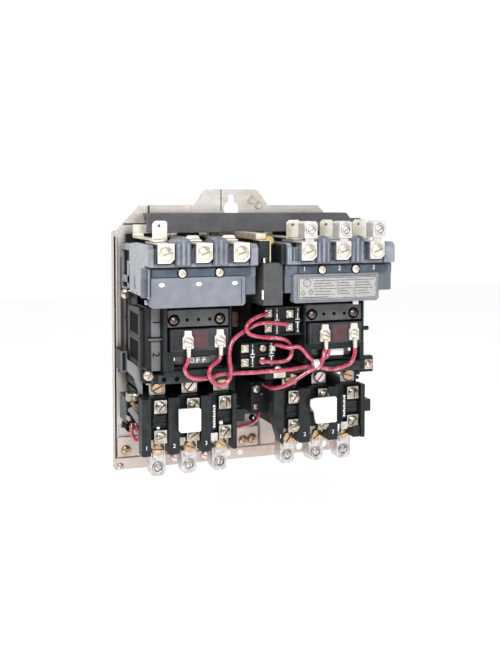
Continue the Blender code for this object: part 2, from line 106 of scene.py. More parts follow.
class Finish:
    """One procedural material: a Principled shader with colour, roughness and bump from noise."""

    def __init__(self, name, metallic=0.0, roughness=0.45, coat=0.0, specular=0.5):
        self.material = bpy.data.materials.new(name)
        self.material.use_nodes = True
        self.tree = self.material.node_tree
        self.shader = self.tree.nodes["Principled BSDF"]
        self.feed(self.shader, {"Metallic": metallic, "Roughness": roughness, "Coat Weight": coat,
                                "Coat Roughness": 0.12, "Specular IOR Level": specular})
        self.place = self.node("ShaderNodeTexCoord").outputs["Object"]

    def feed(self, node, sockets):
        """Give each named socket its constant, or link another node's output to it."""
        for key, value in sockets.items():
            if isinstance(value, bpy.types.NodeSocket):
                self.tree.links.new(value, node.inputs[key])
            else:
                node.inputs[key].default_value = value

    def node(self, kind, sockets=None, **settings):
        made = self.tree.nodes.new(kind)
        for key, value in settings.items():
            setattr(made, key, value)
        self.feed(made, sockets or {})
        return made

    def stretched(self, scale):
        """The object's coordinates, scaled along each axis, for streaks and brushed lines."""
        mapping = self.node("ShaderNodeMapping", {"Scale": scale, "Vector": self.place})
        return mapping.outputs["Vector"]

    def noise(self, scale, detail=4.0, rough=0.55, vector=None):
        return self.node("ShaderNodeTexNoise", {
            "Scale": scale, "Detail": detail, "Roughness": rough,
            "Vector": vector or self.place}).outputs["Fac"]

    def bands(self, axis, scale, distortion):
        return self.node("ShaderNodeTexWave", {
            "Scale": scale, "Distortion": distortion, "Vector": self.place},
            wave_type="BANDS", bands_direction=axis).outputs["Fac"]

    def ramp(self, value, points):
        made = self.node("ShaderNodeValToRGB", {"Fac": value})
        elements = made.color_ramp.elements
        while len(elements) < len(points):
            elements.new(0.5)
        for element, (where, colour) in zip(elements, points):
            element.position = where
            element.color = colour
        return made.outputs["Color"]

    def remap(self, value, low, high, to_low, to_high):
        return self.node("ShaderNodeMapRange", {
            "Value": value, "From Min": low, "From Max": high, "To Min": to_low,
            "To Max": to_high}).outputs["Result"]

    def span(self, value, low, high):
        """Map a noise value, which lies mostly between 0.3 and 0.7, to a range."""
        return self.remap(value, 0.3, 0.7, low, high)

    def below(self, start, full, share):
        """A share that grows from nothing at one height to its full value at a lower one."""
        split = self.node("ShaderNodeSeparateXYZ", {"Vector": self.place})
        return self.remap(split.outputs["Z"], start, full, 0.0, share)

    def mix(self, share, a, b):
        return self.node("ShaderNodeMix", {0: share, 6: a, 7: b}, data_type="RGBA").outputs[2]

    def colour(self, value):
        self.feed(self.shader, {"Base Color": value})

    def rough(self, scale, low, high):
        self.feed(self.shader, {"Roughness": self.span(self.noise(scale, 5.0, 0.6), low, high)})

    def bump(self, height, strength, distance):
        made = self.node("ShaderNodeBump", {"Strength": strength, "Distance": distance,
                                            "Height": height})
        self.feed(self.shader, {"Normal": made.outputs["Normal"]})

    def grime(self, colour, darker, reach, share):
        """Painted shade with some dust and oil: ambient occlusion darkens the colour where
        surfaces are close together, in corners, creases and gaps.
        """
        near = self.node("ShaderNodeAmbientOcclusion", {"Distance": reach}, samples=8)
        return self.mix(self.remap(near.outputs["AO"], 0.35, 0.95, share, 0.0), colour, darker)


def moulding(name, colours, low, high, grain=2400, depth=0.2, coat=0.0, shine=0.28):
    """A phenolic or polyester moulding: faint cloudy colour, fine grain, and painted shade with
    some dust darkening its corners.
    """
    made = Finish(name, coat=coat, specular=shine)
    shades = stops(colours)
    cloud = made.ramp(made.noise(90, 6.0, 0.62), shades)
    dust_and_shade_colour = tuple(c * 0.45 for c in shades[0][1][:3]) + (1.0,)
    # painted shade with some dust: darker where surfaces are close together
    made.colour(made.grime(cloud, dust_and_shade_colour, 0.003, 0.6))
    made.rough(260, low, high)
    made.bump(made.noise(grain, 3.0, 0.6), depth, 0.00012)
    return made.material


def plated(name, colours, low, high, metallic=1.0, mottle=140, grain=1500, depth=0.2,
           grime="#585048"):
    """Plated metal: a mottled film of colour, uneven gloss and fine pitting."""
    made = Finish(name, metallic=metallic)
    film = made.ramp(made.noise(mottle, 6.0, 0.6), stops(colours))
    # painted shade with some dust: darker where surfaces are close together
    made.colour(made.grime(film, rgb(grime), 0.0016, 0.7))
    made.rough(420, low, high)
    made.bump(made.noise(grain, 4.0, 0.6), depth, 0.00008)
    return made.material


def brushed(name, colours, low, high):
    """Turned or brushed metal, with fine lines across it."""
    made = Finish(name, metallic=1.0)
    lines = made.noise(900, 3.0, 0.6, made.stretched((0.15, 1.0, 2.2)))
    film = made.ramp(made.noise(220, 5.0, 0.6), stops(colours))
    lined = made.mix(made.span(lines, 0.0, 0.3), film, rgb("#787066"))
    # painted shade with some dust: darker where surfaces are close together
    made.colour(made.grime(lined, rgb("#463e36"), 0.0015, 0.6))
    made.rough(600, low, high)
    made.bump(lines, 0.12, 0.00008)
    return made.material


def zinc_sheet():
    """Bright zinc with its chromate film: cloudy cream, pink and grey-blue, with streaks."""
    made = Finish("zinc_sheet", metallic=0.45)
    film = made.ramp(made.noise(34, 7.0, 0.62), stops(
        "#c4bab2 #ded4c8 #d8d6d4 #e8d6ca #ced0d4", 0.28, 0.42, 0.52, 0.60, 0.75))
    streaks = made.noise(60, 5.0, 0.65, made.stretched((1.0, 1.0, 14.0)))
    streaky = made.mix(made.span(streaks, 0.0, 0.35), film, rgb("#b0aaa6"))
    # the film turns darker and pinker towards the panel's bottom edge
    pinker_near_bottom = made.mix(made.below(-0.085, -0.105, 0.42), streaky, rgb("#c4a496"))
    # painted shade with some dust: darker where surfaces are close together, over a wide reach
    made.colour(made.grime(pinker_near_bottom, rgb("#4a443e"), 0.006, 0.75))
    made.rough(120, 0.34, 0.52)
    made.bump(made.noise(700, 5.0, 0.6), 0.18, 0.0001)
    return made.material


def glossy_block():
    """The arc blocks' polyester: blue-grey, glossy, with pale flow lines down its ribs."""
    made = Finish("arc_block_moulding", coat=0.35)
    cloud = made.ramp(made.noise(70, 6.0, 0.6), stops("#747984 #888d97 #9ca1aa"))
    flow = made.noise(240, 4.0, 0.6, made.stretched((1.0, 0.4, 0.12)))
    marked = made.mix(made.span(flow, 0.0, 0.4), cloud, rgb("#a0a7b2"))
    # painted shade with some dust: darker where surfaces are close together
    made.colour(made.grime(marked, rgb("#282e3a"), 0.005, 0.65))
    made.rough(180, 0.22, 0.38)
    made.bump(made.noise(900, 4.0, 0.6), 0.15, 0.0002)
    return made.material


def wire_jacket():
    """Red vinyl insulation, a little glossy, scuffed paler in places."""
    made = Finish("wire_jacket", roughness=0.3, coat=0.8, specular=0.7)
    scuffs = made.ramp(made.noise(160, 6.0, 0.65),
                       stops("#a0223c #b83c58 #e08c9e", 0.32, 0.5, 0.74))
    # painted shade: the jacket darkens almost to black-red where other surfaces come close, under
    # and between the wires
    made.colour(made.grime(scuffs, rgb("#34020c"), 0.008, 0.9))
    made.rough(350, 0.18, 0.34)
    made.bump(made.noise(1300, 3.0, 0.5), 0.12, 0.0001)
    return made.material


def woven_fibre():
    """Vulcanised fibre sheet: charcoal, matt, with a faint fabric grain."""
    made = Finish("fibre_sheet")
    cloud = made.ramp(made.noise(60, 6.0, 0.6), stops("#505053 #5d5d60 #6a6a6e", 0.3, 0.5, 0.74))
    # painted shade with some dust: darker where surfaces are close together
    made.colour(made.grime(cloud, rgb("#18181a"), 0.004, 0.6))
    made.rough(300, 0.5, 0.66)
    made.bump(made.mix(0.5, made.bands("X", 620, 1.2), made.bands("Z", 620, 1.2)), 0.12, 0.0001)
    return made.material


def laminated_steel():
    """A stack of thin steel stampings seen on edge."""
    made = Finish("laminated_steel", metallic=1.0)
    stack = made.bands("Y", 320, 0.4)
    layers = made.ramp(stack, stops("#343232 #807c78", 0.1, 0.55))
    # painted shade with some dust: darker where surfaces are close together
    made.colour(made.grime(layers, rgb("#1e1a18"), 0.004, 0.7))
    made.rough(300, 0.34, 0.55)
    made.bump(stack, 0.3, 0.0002)
    return made.material


MAT = {
    # mouldings and prints: colours from dark to light, then the range of roughness
    "zinc": zinc_sheet(),
    "fibre": woven_fibre(),
    "block": glossy_block(),
    # a darker copy of the block moulding for the barrier walls: painted shade under the insulating
    # bar
    "navy": moulding("arc_barrier_in_shade", "#464c58 #5e6470 #7c828f", 0.22, 0.36, grain=900, depth=0.15,
                     coat=0.35, shine=0.5),
    # a darker copy of the cover moulding for its set-back sides: painted shade
    "shoulder": moulding("cover_shoulder", "#5e636c #6a6f79 #787d87", 0.34, 0.48, grain=2200,
                         depth=0.16, coat=0.1),
    "band": moulding("cover_band", "#3c4553 #4a5361 #5a6372", 0.3, 0.44, grain=2200, depth=0.16,
                     coat=0.1),
    "cover": moulding("cover_moulding", "#787c86 #848892 #90949e", 0.36, 0.5, grain=2200,
                      depth=0.16, coat=0.05),
    "black": moulding("black_phenolic", "#141719 #212527 #323638", 0.34, 0.52, grain=2600,
                      depth=0.28),
    "satin": moulding("satin_black", "#2c3032 #363a3c #424648", 0.42, 0.58, depth=0.3),
    "grey": moulding("grey_moulding", "#4a4b4d #545557 #606163", 0.44, 0.58),
    "pale": moulding("pale_grey_moulding", "#6a6a6d #767678 #828284", 0.5, 0.62),
    "resin": moulding("coil_resin", "#303135 #3c3d41 #4a494d", 0.34, 0.5, grain=1800),
    "mid": moulding("mid_grey_moulding", "#848588 #929395 #9e9fa1", 0.5, 0.62),
    "white": moulding("white_moulding", "#f0f0ee #fafaf8 #fffffe", 0.38, 0.5, depth=0.1),
    "red_label": moulding("red_label", "#48383c #544246 #604c50", 0.4, 0.5, grain=2000,
                          depth=0.05),
    "red_ink": moulding("red_ink", "#643640 #703e48 #7c4650", 0.4, 0.5, grain=2000, depth=0.05),
    "ink": moulding("print_ink", "#3c3a3c #464446 #504e50", 0.4, 0.5, grain=2000, depth=0.05),
    # near-black, mostly painted shade in holes, recesses, seams and gaps; also the strip's printed
    # numbers and the two side plugs
    "void": moulding("dark_hole", "#050607 #090a0b #0d0e0f", 0.6, 0.7, grain=2000, depth=0.1,
                     shine=0.05),
    "tin": plated("tin_plate", "#ded7ca #f0eade #faf7ef", 0.3, 0.48, metallic=0.55),
    "bright": plated("bright_tin", "#d2cecb #e7e2df #f7f4f1", 0.3, 0.48, metallic=0.55),
    # the next two are darker copies of the tin plate and the nickel screw: painted shade for
    # terminals and screws that sit among darker parts
    "dull": plated("tin_plate_in_shade", "#968f87 #b8b0a7 #d8d2c9", 0.26, 0.46),
    "aged": plated("nickel_screw_in_shade", "#7a7066 #a69c90 #dcd5ca", 0.2, 0.36),
    "dark": plated("darkened_screw", "#463a36 #76645e #ccbeb8", 0.2, 0.36, mottle=420),
    "rust": brushed("dark_copper", "#4c342e #62443c #7e5e54", 0.34, 0.5),
    # a paler, less metallic copy of the brass for the interlock rail and bracket: painted
    # reflection, bright whatever surrounds them
    "rod": plated("brass_rod_painted_reflection", "#c4b092 #e2d4bc #f0e8d8", 0.3, 0.46, metallic=0.35),
    "cream": plated("nickel_screw", "#d4cab6 #eee5d3 #f8f3e6", 0.24, 0.42, metallic=0.6),
    "rose": plated("rose_screw", "#bca49c #dac8c0 #ece2dc", 0.22, 0.4),
    "bronze": brushed("bronze_screw", "#a88868 #caaa88 #e0c8ac", 0.24, 0.4),
    "brass": brushed("brass_part", "#b08c54 #ceac70 #e2c68e", 0.24, 0.4),
    "copper": brushed("copper_part", "#965442 #b26852 #c47e68", 0.28, 0.45),
    "lug": plated("cast_lug", "#a8a3a2 #c6c1c0 #e6e3e1", 0.28, 0.46, metallic=0.9, mottle=200,
                  grain=900, depth=0.3, grime="#605a56"),
    "label": plated("label_metal", "#aca9a9 #bebbbb #cecbcb", 0.36, 0.5, metallic=0.6, mottle=300,
                    grain=900, depth=0.12),
    "steel": laminated_steel(),
    "wire": wire_jacket(),
}

# The slot that a piece's first finish belongs to, where the piece doesn't give another.
SLOTS = {
    "zinc": "zinc_steel", "ink": "zinc_steel", "fibre": "fibre_board", "black": "black_phenolic",
    "satin": "black_phenolic", "void": "black_phenolic", "grey": "grey_moulding",
    "pale": "grey_moulding", "mid": "grey_moulding", "resin": "coil_resin",
    "red_label": "coil_resin", "red_ink": "coil_resin", "white": "white_moulding",
    "block": "arc_block_moulding", "cover": "cover_moulding", "label": "printed_plate",
    "steel": "magnet_steel", "wire": "wire_jacket", "brass": "brass", "rod": "brass",
    "copper": "silver_copper", "rust": "silver_copper",
}


# ======================================================================== shapes
def rounded_path(points, radius, steps=4):
    """An open path with each inner corner turned into an arc."""
    path = [Vector(points[0])]
    for before, corner, after in zip(points, points[1:], points[2:]):
        corner = Vector(corner)
        a, b = (Vector(before) - corner), (Vector(after) - corner)
        back = min(radius / math.tan(a.angle(b) / 2), a.length * 0.49, b.length * 0.49)
        start, end = corner + a.normalized() * back, corner + b.normalized() * back
        for k in range(steps + 1):
            t = k / steps
            path.append(start * (1 - t) ** 2 + corner * 2 * t * (1 - t) + end * t ** 2)
    path.append(Vector(points[-1]))
    return path


def smooth_path(points, steps):
    """Pass a Catmull-Rom curve through the listed points."""
    knots = [Vector(p) for p in points]
    knots = [2 * knots[0] - knots[1]] + knots + [2 * knots[-1] - knots[-2]]
    path = []
    for a, b, c, d in zip(knots, knots[1:], knots[2:], knots[3:]):
        for k in range(steps):
            t = k / steps
            path.append(0.5 * (2 * b + (c - a) * t + (2 * a - 5 * b + 4 * c - d) * t * t
                               + (3 * b - a - 3 * c + d) * t ** 3))
    path.append(knots[-2])
    return path


def tangents(path):
    last = len(path) - 1
    return [(path[min(i + 1, last)] - path[max(i - 1, 0)]).normalized() for i in range(last + 1)]


def soften(work, radius, steps=2, angle=28):
    """Round every edge that is sharper than the angle."""
    sharp = [e for e in work.edges
             if len(e.link_faces) == 2 and e.calc_face_angle() > math.radians(angle)]
    bmesh.ops.bevel(work, geom=sharp, offset=radius, segments=steps, profile=0.5,
                    affect="EDGES", clamp_overlap=True)


AXES = {
    "x": lambda a, b, c: (c, a, b),
    "y": lambda a, b, c: (a, c, b),
    "z": lambda a, b, c: (a, b, c),
}


class Shape:
    """Closed shells gathered in millimetres, each with its own place in the piece's materials."""

    def __init__(self):
        self.mesh = bmesh.new()

    def take(self, work, slot=None):
        if slot is not None:
            for face in work.faces:
                face.material_index = slot
        spare = bpy.data.meshes.new("spare")
        work.to_mesh(spare)
        work.free()
        self.mesh.from_mesh(spare)
        bpy.data.meshes.remove(spare)
        return self

    def add(self, other):
        """Take a copy of another shape's shells, materials and all."""
        return self.take(other.mesh.copy())

    def move(self, matrix):
        self.mesh.transform(matrix)
        return self

    def block(self, x, y, z, r=0.5, steps=2, slot=0):
        size = Vector((x[1] - x[0], y[1] - y[0], z[1] - z[0]))
        middle = Vector((x[1] + x[0], y[1] + y[0], z[1] + z[0])) / 2
        work = bmesh.new()
        bmesh.ops.create_cube(work, size=1)
        for vertex in work.verts:
            vertex.co = middle + vertex.co * size
        if r:
            soften(work, min(r, 0.42 * min(size)), steps)
        return self.take(work, slot)

    def blocks(self, at, *rows, slot=0):
        """Blocks listed as x0, x1, y0, y1, z0, z1 and rounding, with x taken from a middle."""
        for x0, x1, y0, y1, z0, z1, r in rows:
            self.block((at + x0, at + x1), (y0, y1), (z0, z1), r, slot=slot)
        return self

    def prism(self, axis, outline, low, high, r=0.4, steps=2, slot=0):
        """Extrude a closed outline of the other two coordinates along one axis."""
        work = bmesh.new()
        ends = [[work.verts.new(AXES[axis](p[0], p[1], c)) for p in outline] for c in (low, high)]
        work.faces.new(ends[0])
        work.faces.new(reversed(ends[1]))
        count = len(outline)
        for i in range(count):
            j = (i + 1) % count
            work.faces.new((ends[0][i], ends[1][i], ends[1][j], ends[0][j]))
        bmesh.ops.recalc_face_normals(work, faces=work.faces)
        if r:
            soften(work, r, steps)
        return self.take(work, slot)

    def folded(self, axis, path, thickness, low, high, bend):
        """Sheet metal: a path in the other two coordinates, bent round its corners."""
        line = rounded_path([Vector(p).to_3d() for p in path], bend)
        front, back = [], []
        for here, along in zip(line, tangents(line)):
            side = Vector((-along.y, along.x, 0)) * thickness / 2
            front.append((here + side).to_2d())
            back.append((here - side).to_2d())
        return self.prism(axis, front + back[::-1], low, high, 0)

    def lathe(self, axis, centre, profile, sides=28, slot=0):
        """Turn a profile of (radius, place along the axis) about a line along the axis."""
        work = bmesh.new()
        rings = []
        for radius, along in profile:
            turn = [2 * math.pi * i / sides for i in range(sides if radius else 1)]
            rings.append([work.verts.new(AXES[axis](centre[0] + radius * math.cos(t),
                                                    centre[1] + radius * math.sin(t), along))
                          for t in turn])
        for a, b in zip(rings, rings[1:]):
            for i in range(sides):
                j = (i + 1) % sides
                ring = [a[i % len(a)], a[j % len(a)], b[j % len(b)], b[i % len(b)]]
                work.faces.new(list(dict.fromkeys(ring)))
        for ring in (rings[0], rings[-1]):
            if len(ring) > 1:
                work.faces.new(ring)
        bmesh.ops.recalc_face_normals(work, faces=work.faces)
        return self.take(work, slot)

    def rod(self, axis, centre, radius, low, high, r=0.3, sides=28, slot=0):
        """A cylinder with rounded rims."""
        r = min(r, 0.45 * abs(high - low), 0.45 * radius)
        c = r * (1 - math.sqrt(0.5))
        profile = [(radius - r, low), (radius - c, low + c), (radius, low + r),
                   (radius, high - r), (radius - c, high - c), (radius - r, high)]
        return self.lathe(axis, centre, profile, sides, slot)

    def tube(self, points, radius, sides=18, steps=6):
        """Sweep a round section along a smooth path, with slightly rounded ends."""
        path = smooth_path(points, steps)
        along = tangents(path)
        normal = along[0].orthogonal().normalized()
        work = bmesh.new()
        rings = []
        for i, (here, tangent) in enumerate(zip(path, along)):
            normal = (normal - tangent * normal.dot(tangent)).normalized()
            side = tangent.cross(normal)
            here_radius = radius * (0.88 if i in (0, len(path) - 1) else 1.0)
            turn = [2 * math.pi * k / sides for k in range(sides)]
            rings.append([work.verts.new(here + here_radius * (normal * math.cos(t)
                                                               + side * math.sin(t)))
                          for t in turn])
        for a, b in zip(rings, rings[1:]):
            for i in range(sides):
                j = (i + 1) % sides
                work.faces.new((a[i], a[j], b[j], b[i]))
        work.faces.new(rings[0])
        work.faces.new(rings[-1])
        bmesh.ops.recalc_face_normals(work, faces=work.faces)
        return self.take(work, 0)

    def numeral(self, text, place, size, turn=0.0, depth=0.16):
        """Raised figures that face the front."""
        curve = bpy.data.curves.new("figures", "FONT")
        curve.body, curve.size, curve.extrude = text, size, depth
        curve.align_x = curve.align_y = "CENTER"
        curve.resolution_u = 3
        holder = new_object("figures", curve)
        graph = bpy.context.evaluated_depsgraph_get()
        mesh = bpy.data.meshes.new_from_object(holder.evaluated_get(graph))
        bpy.data.objects.remove(holder)
        bpy.data.curves.remove(curve)
        work = bmesh.new()
        work.from_mesh(mesh)
        bpy.data.meshes.remove(mesh)
        bmesh.ops.remove_doubles(work, verts=work.verts, dist=0.001)
        work.transform(Matrix.Translation(place) @ Matrix.Rotation(math.radians(turn), 4, "Y")
                       @ Matrix.Rotation(math.radians(90), 4, "X"))
        return self.take(work, 0)

    def stamp(self, kind, place, radius, height, turn=0.0, slot=0):
        """Put a screw head down at its true radius and height, turned about its own axis."""
        work = SCREW[kind].mesh.copy()
        size = Matrix.Diagonal((radius, height, radius, 1.0))
        work.transform(Matrix.Translation(place) @ Matrix.Rotation(math.radians(turn), 4, "Y")
                       @ size)
        return self.take(work, slot)


def carved(body, tools, operation="DIFFERENCE"):
    """One exact Boolean of two shapes, as a new shape."""
    holders = []
    for shape in (body, tools):
        mesh = bpy.data.meshes.new("carving")
        shape.mesh.to_mesh(mesh)
        for _ in range(4):
            mesh.materials.append(None)
        holders.append(new_object("carving", mesh))
    step = holders[0].modifiers.new("step", "BOOLEAN")
    step.operation = operation
    step.solver = "EXACT"
    step.use_self = True
    step.object = holders[1]
    graph = bpy.context.evaluated_depsgraph_get()
    mesh = bpy.data.meshes.new_from_object(holders[0].evaluated_get(graph))
    result = Shape()
    result.mesh.from_mesh(mesh)
    bpy.data.meshes.remove(mesh)
    for holder in holders:
        spare = holder.data
        bpy.data.objects.remove(holder)
        bpy.data.meshes.remove(spare)
    return result


def piece(name, shape, finishes, replaces="", slot=None, body=STARTER, sharp=34, edge=0.0):
    """Finish a shape as a piece of the starter that rides on a body of the frame."""
    mesh = bpy.data.meshes.new(name)
    if edge:
        soften(shape.mesh, edge, 2, 30)
    shape.mesh.transform(Matrix.Scale(MM, 4))
    shape.mesh.to_mesh(mesh)
    shape.mesh.free()
    keys = finishes.split()
    for key in keys:
        mesh.materials.append(MAT[key])
    mesh.shade_smooth()
    mesh.set_sharp_from_angle(angle=math.radians(sharp))
    obj = new_object(name, mesh)
    obj.modifiers.new("flat faces stay flat", "WEIGHTED_NORMAL").keep_sharp = True
    slot = slot or SLOTS.get(keys[0], "tinned_copper")
    replaces = replaces.split()
    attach(obj, body)
    if replaces:
        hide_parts(*replaces)


# ======================================================================== fasteners
def screw_head(kind):
    """A head of unit radius and height that stands out towards the front, -Y."""
    profiles = {
        "pan": [(0, -1.0), (0.5, -0.97), (0.78, -0.84), (0.95, -0.56), (1.0, -0.2), (1.0, 0.3)],
        "cheese": [(0, -1.0), (0.84, -1.0), (0.95, -0.9), (1.0, -0.7), (1.0, 0.3)],
        "cone": [(0, -1.0), (0.35, -0.93), (0.66, -0.7), (0.92, -0.36), (1.0, -0.1), (1.0, 0.3)],
    }
    style, recess = kind.split("_")
    cuts = Shape()
    if recess in ("slot", "combo"):
        cuts.block((-1.3, 1.3), (-1.4, -0.42), (-0.12, 0.12), 0)
    if recess in ("cross", "combo"):
        for half_x, half_z in ((0.56, 0.13), (0.13, 0.56)):
            cuts.block((-half_x, half_x), (-1.4, -0.3), (-half_z, half_z), 0)
    return carved(Shape().lathe("y", (0, 0), profiles[style], 32), cuts)


def clamp_screw():
    """A box lug's binding screw: a ring on the lug with a slotted screw sunk in it."""
    ring = [(1.0, 0.2), (1.0, -0.55), (0.95, -0.85), (0.84, -1.0), (0.74, -0.85), (0.7, -0.3),
            (0.7, 0.2)]
    sunk = [(0, -0.7), (0.5, -0.68), (0.62, -0.5), (0.64, 0.2)]
    cut = Shape().block((-1, 1), (-1.4, -0.2), (-0.1, 0.1), 0)
    return Shape().lathe("y", (0, 0), ring, 36).add(
        carved(Shape().lathe("y", (0, 0), sunk, 32), cut))


SCREW = {kind: screw_head(kind) for kind in (
    "pan_slot", "pan_cross", "pan_combo", "cheese_slot", "cone_slot")}
SCREW["clamp"] = clamp_screw()


# ======================================================================== studio
CAMERA_PLACE, CAMERA_TURN = (-0.2753, -0.8417, 0.1241), (87.0, 0, -19.5)
LENS, SENSOR, SHIFT_Y = 50.08, 36, -0.1244
WALL_SIDE = (0.33, 0.94, 0.0)     # the studio's bright wall is behind the object
WALL_LIGHT, ROOM_LIGHT = 1.06, 0.14
PAPER_GLOW = 0.5
FLOOR_Z, FLOOR_HALF = -0.27, 3.0
LIGHTS = (
    ("key", (-0.5, -1.1, 0.9), 15.0, 0.45),
    ("fill", (-1.3, -0.4, 0.2), 1.2, 0.7),
    ("front", (0.3, -1.5, 0.3), 4.0, 0.5),
)


def room():
    """A world that is bright behind the object and dim behind the camera."""
    world = bpy.data.worlds.new("studio")
    world.use_nodes = True
    tree = world.node_tree
    sky = tree.nodes["Background"]
    sky.inputs["Color"].default_value = (1.0, 1.0, 1.0, 1.0)
    towards = tree.nodes.new("ShaderNodeVectorMath")
    towards.operation = "DOT_PRODUCT"
    towards.inputs[1].default_value = WALL_SIDE
    tree.links.new(tree.nodes.new("ShaderNodeTexCoord").outputs["Generated"], towards.inputs[0])
    fade = tree.nodes.new("ShaderNodeMapRange")
    for key, value in (("From Min", -0.1), ("From Max", 0.6), ("To Min", ROOM_LIGHT),
                       ("To Max", WALL_LIGHT)):
        fade.inputs[key].default_value = value
    tree.links.new(towards.outputs["Value"], fade.inputs["Value"])
    tree.links.new(fade.outputs["Result"], sky.inputs["Strength"])
    return world


def studio():
    scene = bpy.context.scene
    camera = bpy.data.cameras.new("camera")
    camera.lens, camera.sensor_width, camera.shift_y = LENS, SENSOR, SHIFT_Y
    holder = new_object("camera", camera)
    holder.location = CAMERA_PLACE
    holder.rotation_euler = [math.radians(turn) for turn in CAMERA_TURN]
    scene.camera = holder
    scene.view_settings.view_transform = "Standard"
    scene.world = room()

    paper = Finish("studio_paper", roughness=0.9, specular=0.1)
    greys = [(0.3, (0.95, 0.95, 0.95, 1)), (0.7, (0.98, 0.98, 0.98, 1))]
    paper.colour(paper.ramp(paper.noise(3.0), greys))
    paper.feed(paper.shader, {"Emission Color": (1.0, 1.0, 1.0, 1.0),
                              "Emission Strength": PAPER_GLOW})
    mesh = bpy.data.meshes.new("floor")
    mesh.from_pydata([(x * FLOOR_HALF, y * FLOOR_HALF, FLOOR_Z)
                      for x, y in ((-1, -1), (1, -1), (1, 1), (-1, 1))], [], [(0, 1, 2, 3)])
    mesh.materials.append(paper.material)
    floor = new_object("floor", mesh)

    for name, place, energy, size in LIGHTS:
        lamp = bpy.data.lights.new(name, "AREA")
        lamp.energy, lamp.size = energy, size
        holder = new_object(name, lamp)
        holder.location = place
        holder.rotation_euler = (-Vector(place)).to_track_quat("-Z", "Y").to_euler()


# ======================================================================== control wires
WIRE_RADIUS = 1.75
LEAD_RADIUS = 1.5
WIRES = {
    "wire_coil_to_coil": [
        (-70.1, -111.9, -3.6), (-71.6, -112.5, -8), (-74, -113, -12.5), (-72, -113.5, -17.5),
        (-67.5, -114, -20.5), (-59.5, -114, -21.5), (-50.5, -113, -21), (-40, -112, -19),
        (-12, -111.5, -19.5), (19.5, -111.5, -19), (33.5, -111, -17.8), (42.5, -110.8, -17.6),
        (51, -112, -19.5), (59.5, -112, -21), (69, -112, -19.5), (77, -112, -16),
        (80.2, -112, -9), (80.7, -111.8, -3.4)],
    "wire_coil_to_upper_block": [
        (-42.5, -111.9, -3.6), (-45, -113.3, -7.4), (-51.5, -116, -11), (-54.5, -117.5, -16),
        (-53, -118, -22), (-48.5, -118, -26), (-42.5, -118, -27), (-37.5, -117.5, -23.5),
        (-35.5, -117, -17), (-35.6, -114.5, -9), (-35, -112, -1), (-32.5, -110, 6.5),
        (-27, -108.5, 11.5), (-18.5, -107, 15.8), (-9, -106, 20.2), (2, -105, 21),
        (21, -104.5, 18.5)],
    "wire_upper_to_lower_block": [
        (2, -104, 29), (-8, -107.5, 27), (-16.5, -110.5, 23.5), (-20.2, -112, 18.5),
        (-17.5, -111.5, 13.5), (-10.5, -109, 10.8), (1, -107, 8.6), (12, -107, 7.5),
        (19.5, -107, 4), (23, -107, -3), (20.5, -107, -10.5), (12.5, -106, -13),
        (2, -104.5, -12.5), (-5.5, -103.5, -11.5)],
    "wire_lower_block_to_coil": [
        (9.8, -102.5, 1.8), (14, -107.5, 0.8), (19.5, -111.5, -0.5), (26.5, -112.5, 0.5),
        (32, -112, -3.5), (37, -112.2, -9.5), (42.5, -112.5, -13.2), (48.5, -112.3, -12.6),
        (54.4, -111.8, -8.5), (55.8, -111.8, -3.4)],
    "wire_overload_to_coil": [
        (9.5, -70, -37), (7.5, -85, -37), (8.5, -100, -36.5), (13, -108, -34.3),
        (20, -112, -30.5), (28.5, -114, -25), (36, -115, -20.6), (42, -115.2, -18),
        (45.8, -116.4, -15.6), (48.4, -116.4, -10), (49.6, -115.2, -6.4), (50.2, -113.6, -3.6)],
}


def control_wires():
    for name, route in WIRES.items():
        piece(f"{name}_jacket", Shape().tube(route, WIRE_RADIUS), "wire", name)
    tie = Shape()
    for x in (40.4, 40.4 + 1.6, 40.4 + 3.2):
        tie.lathe("x", (-113.0, -15.8), [(3.6, x), (4.5, x + 0.3), (4.5, x + 1.3),
                                         (3.6, x + 1.6)], 20)
    piece("cable_tie", tie, "white", sharp=50)


# ======================================================================== panel
SHEET = 2.0
TAB_Y = -92.0
CHANNEL_WALLS = (-13.0, 29.0)
CHANNEL_TOP = 100.0


def fitting(name, finishes, *rows, at=0.0, **settings):
    """A small piece listed as rows: blocks as in Shape.blocks, rods that begin with their axis,
    and screws that begin with their kind, then place, radius, height and turn."""
    shape = Shape()
    for row in rows:
        if row[0] in AXES:
            shape.rod(*row)
        elif row[0] in SCREW:
            kind, x, y, z, radius, height, turn = row
            shape.stamp(kind, (at + x, y, z), radius, height, turn)
        else:
            shape.blocks(at, row)
    piece(name, shape, finishes, **settings)


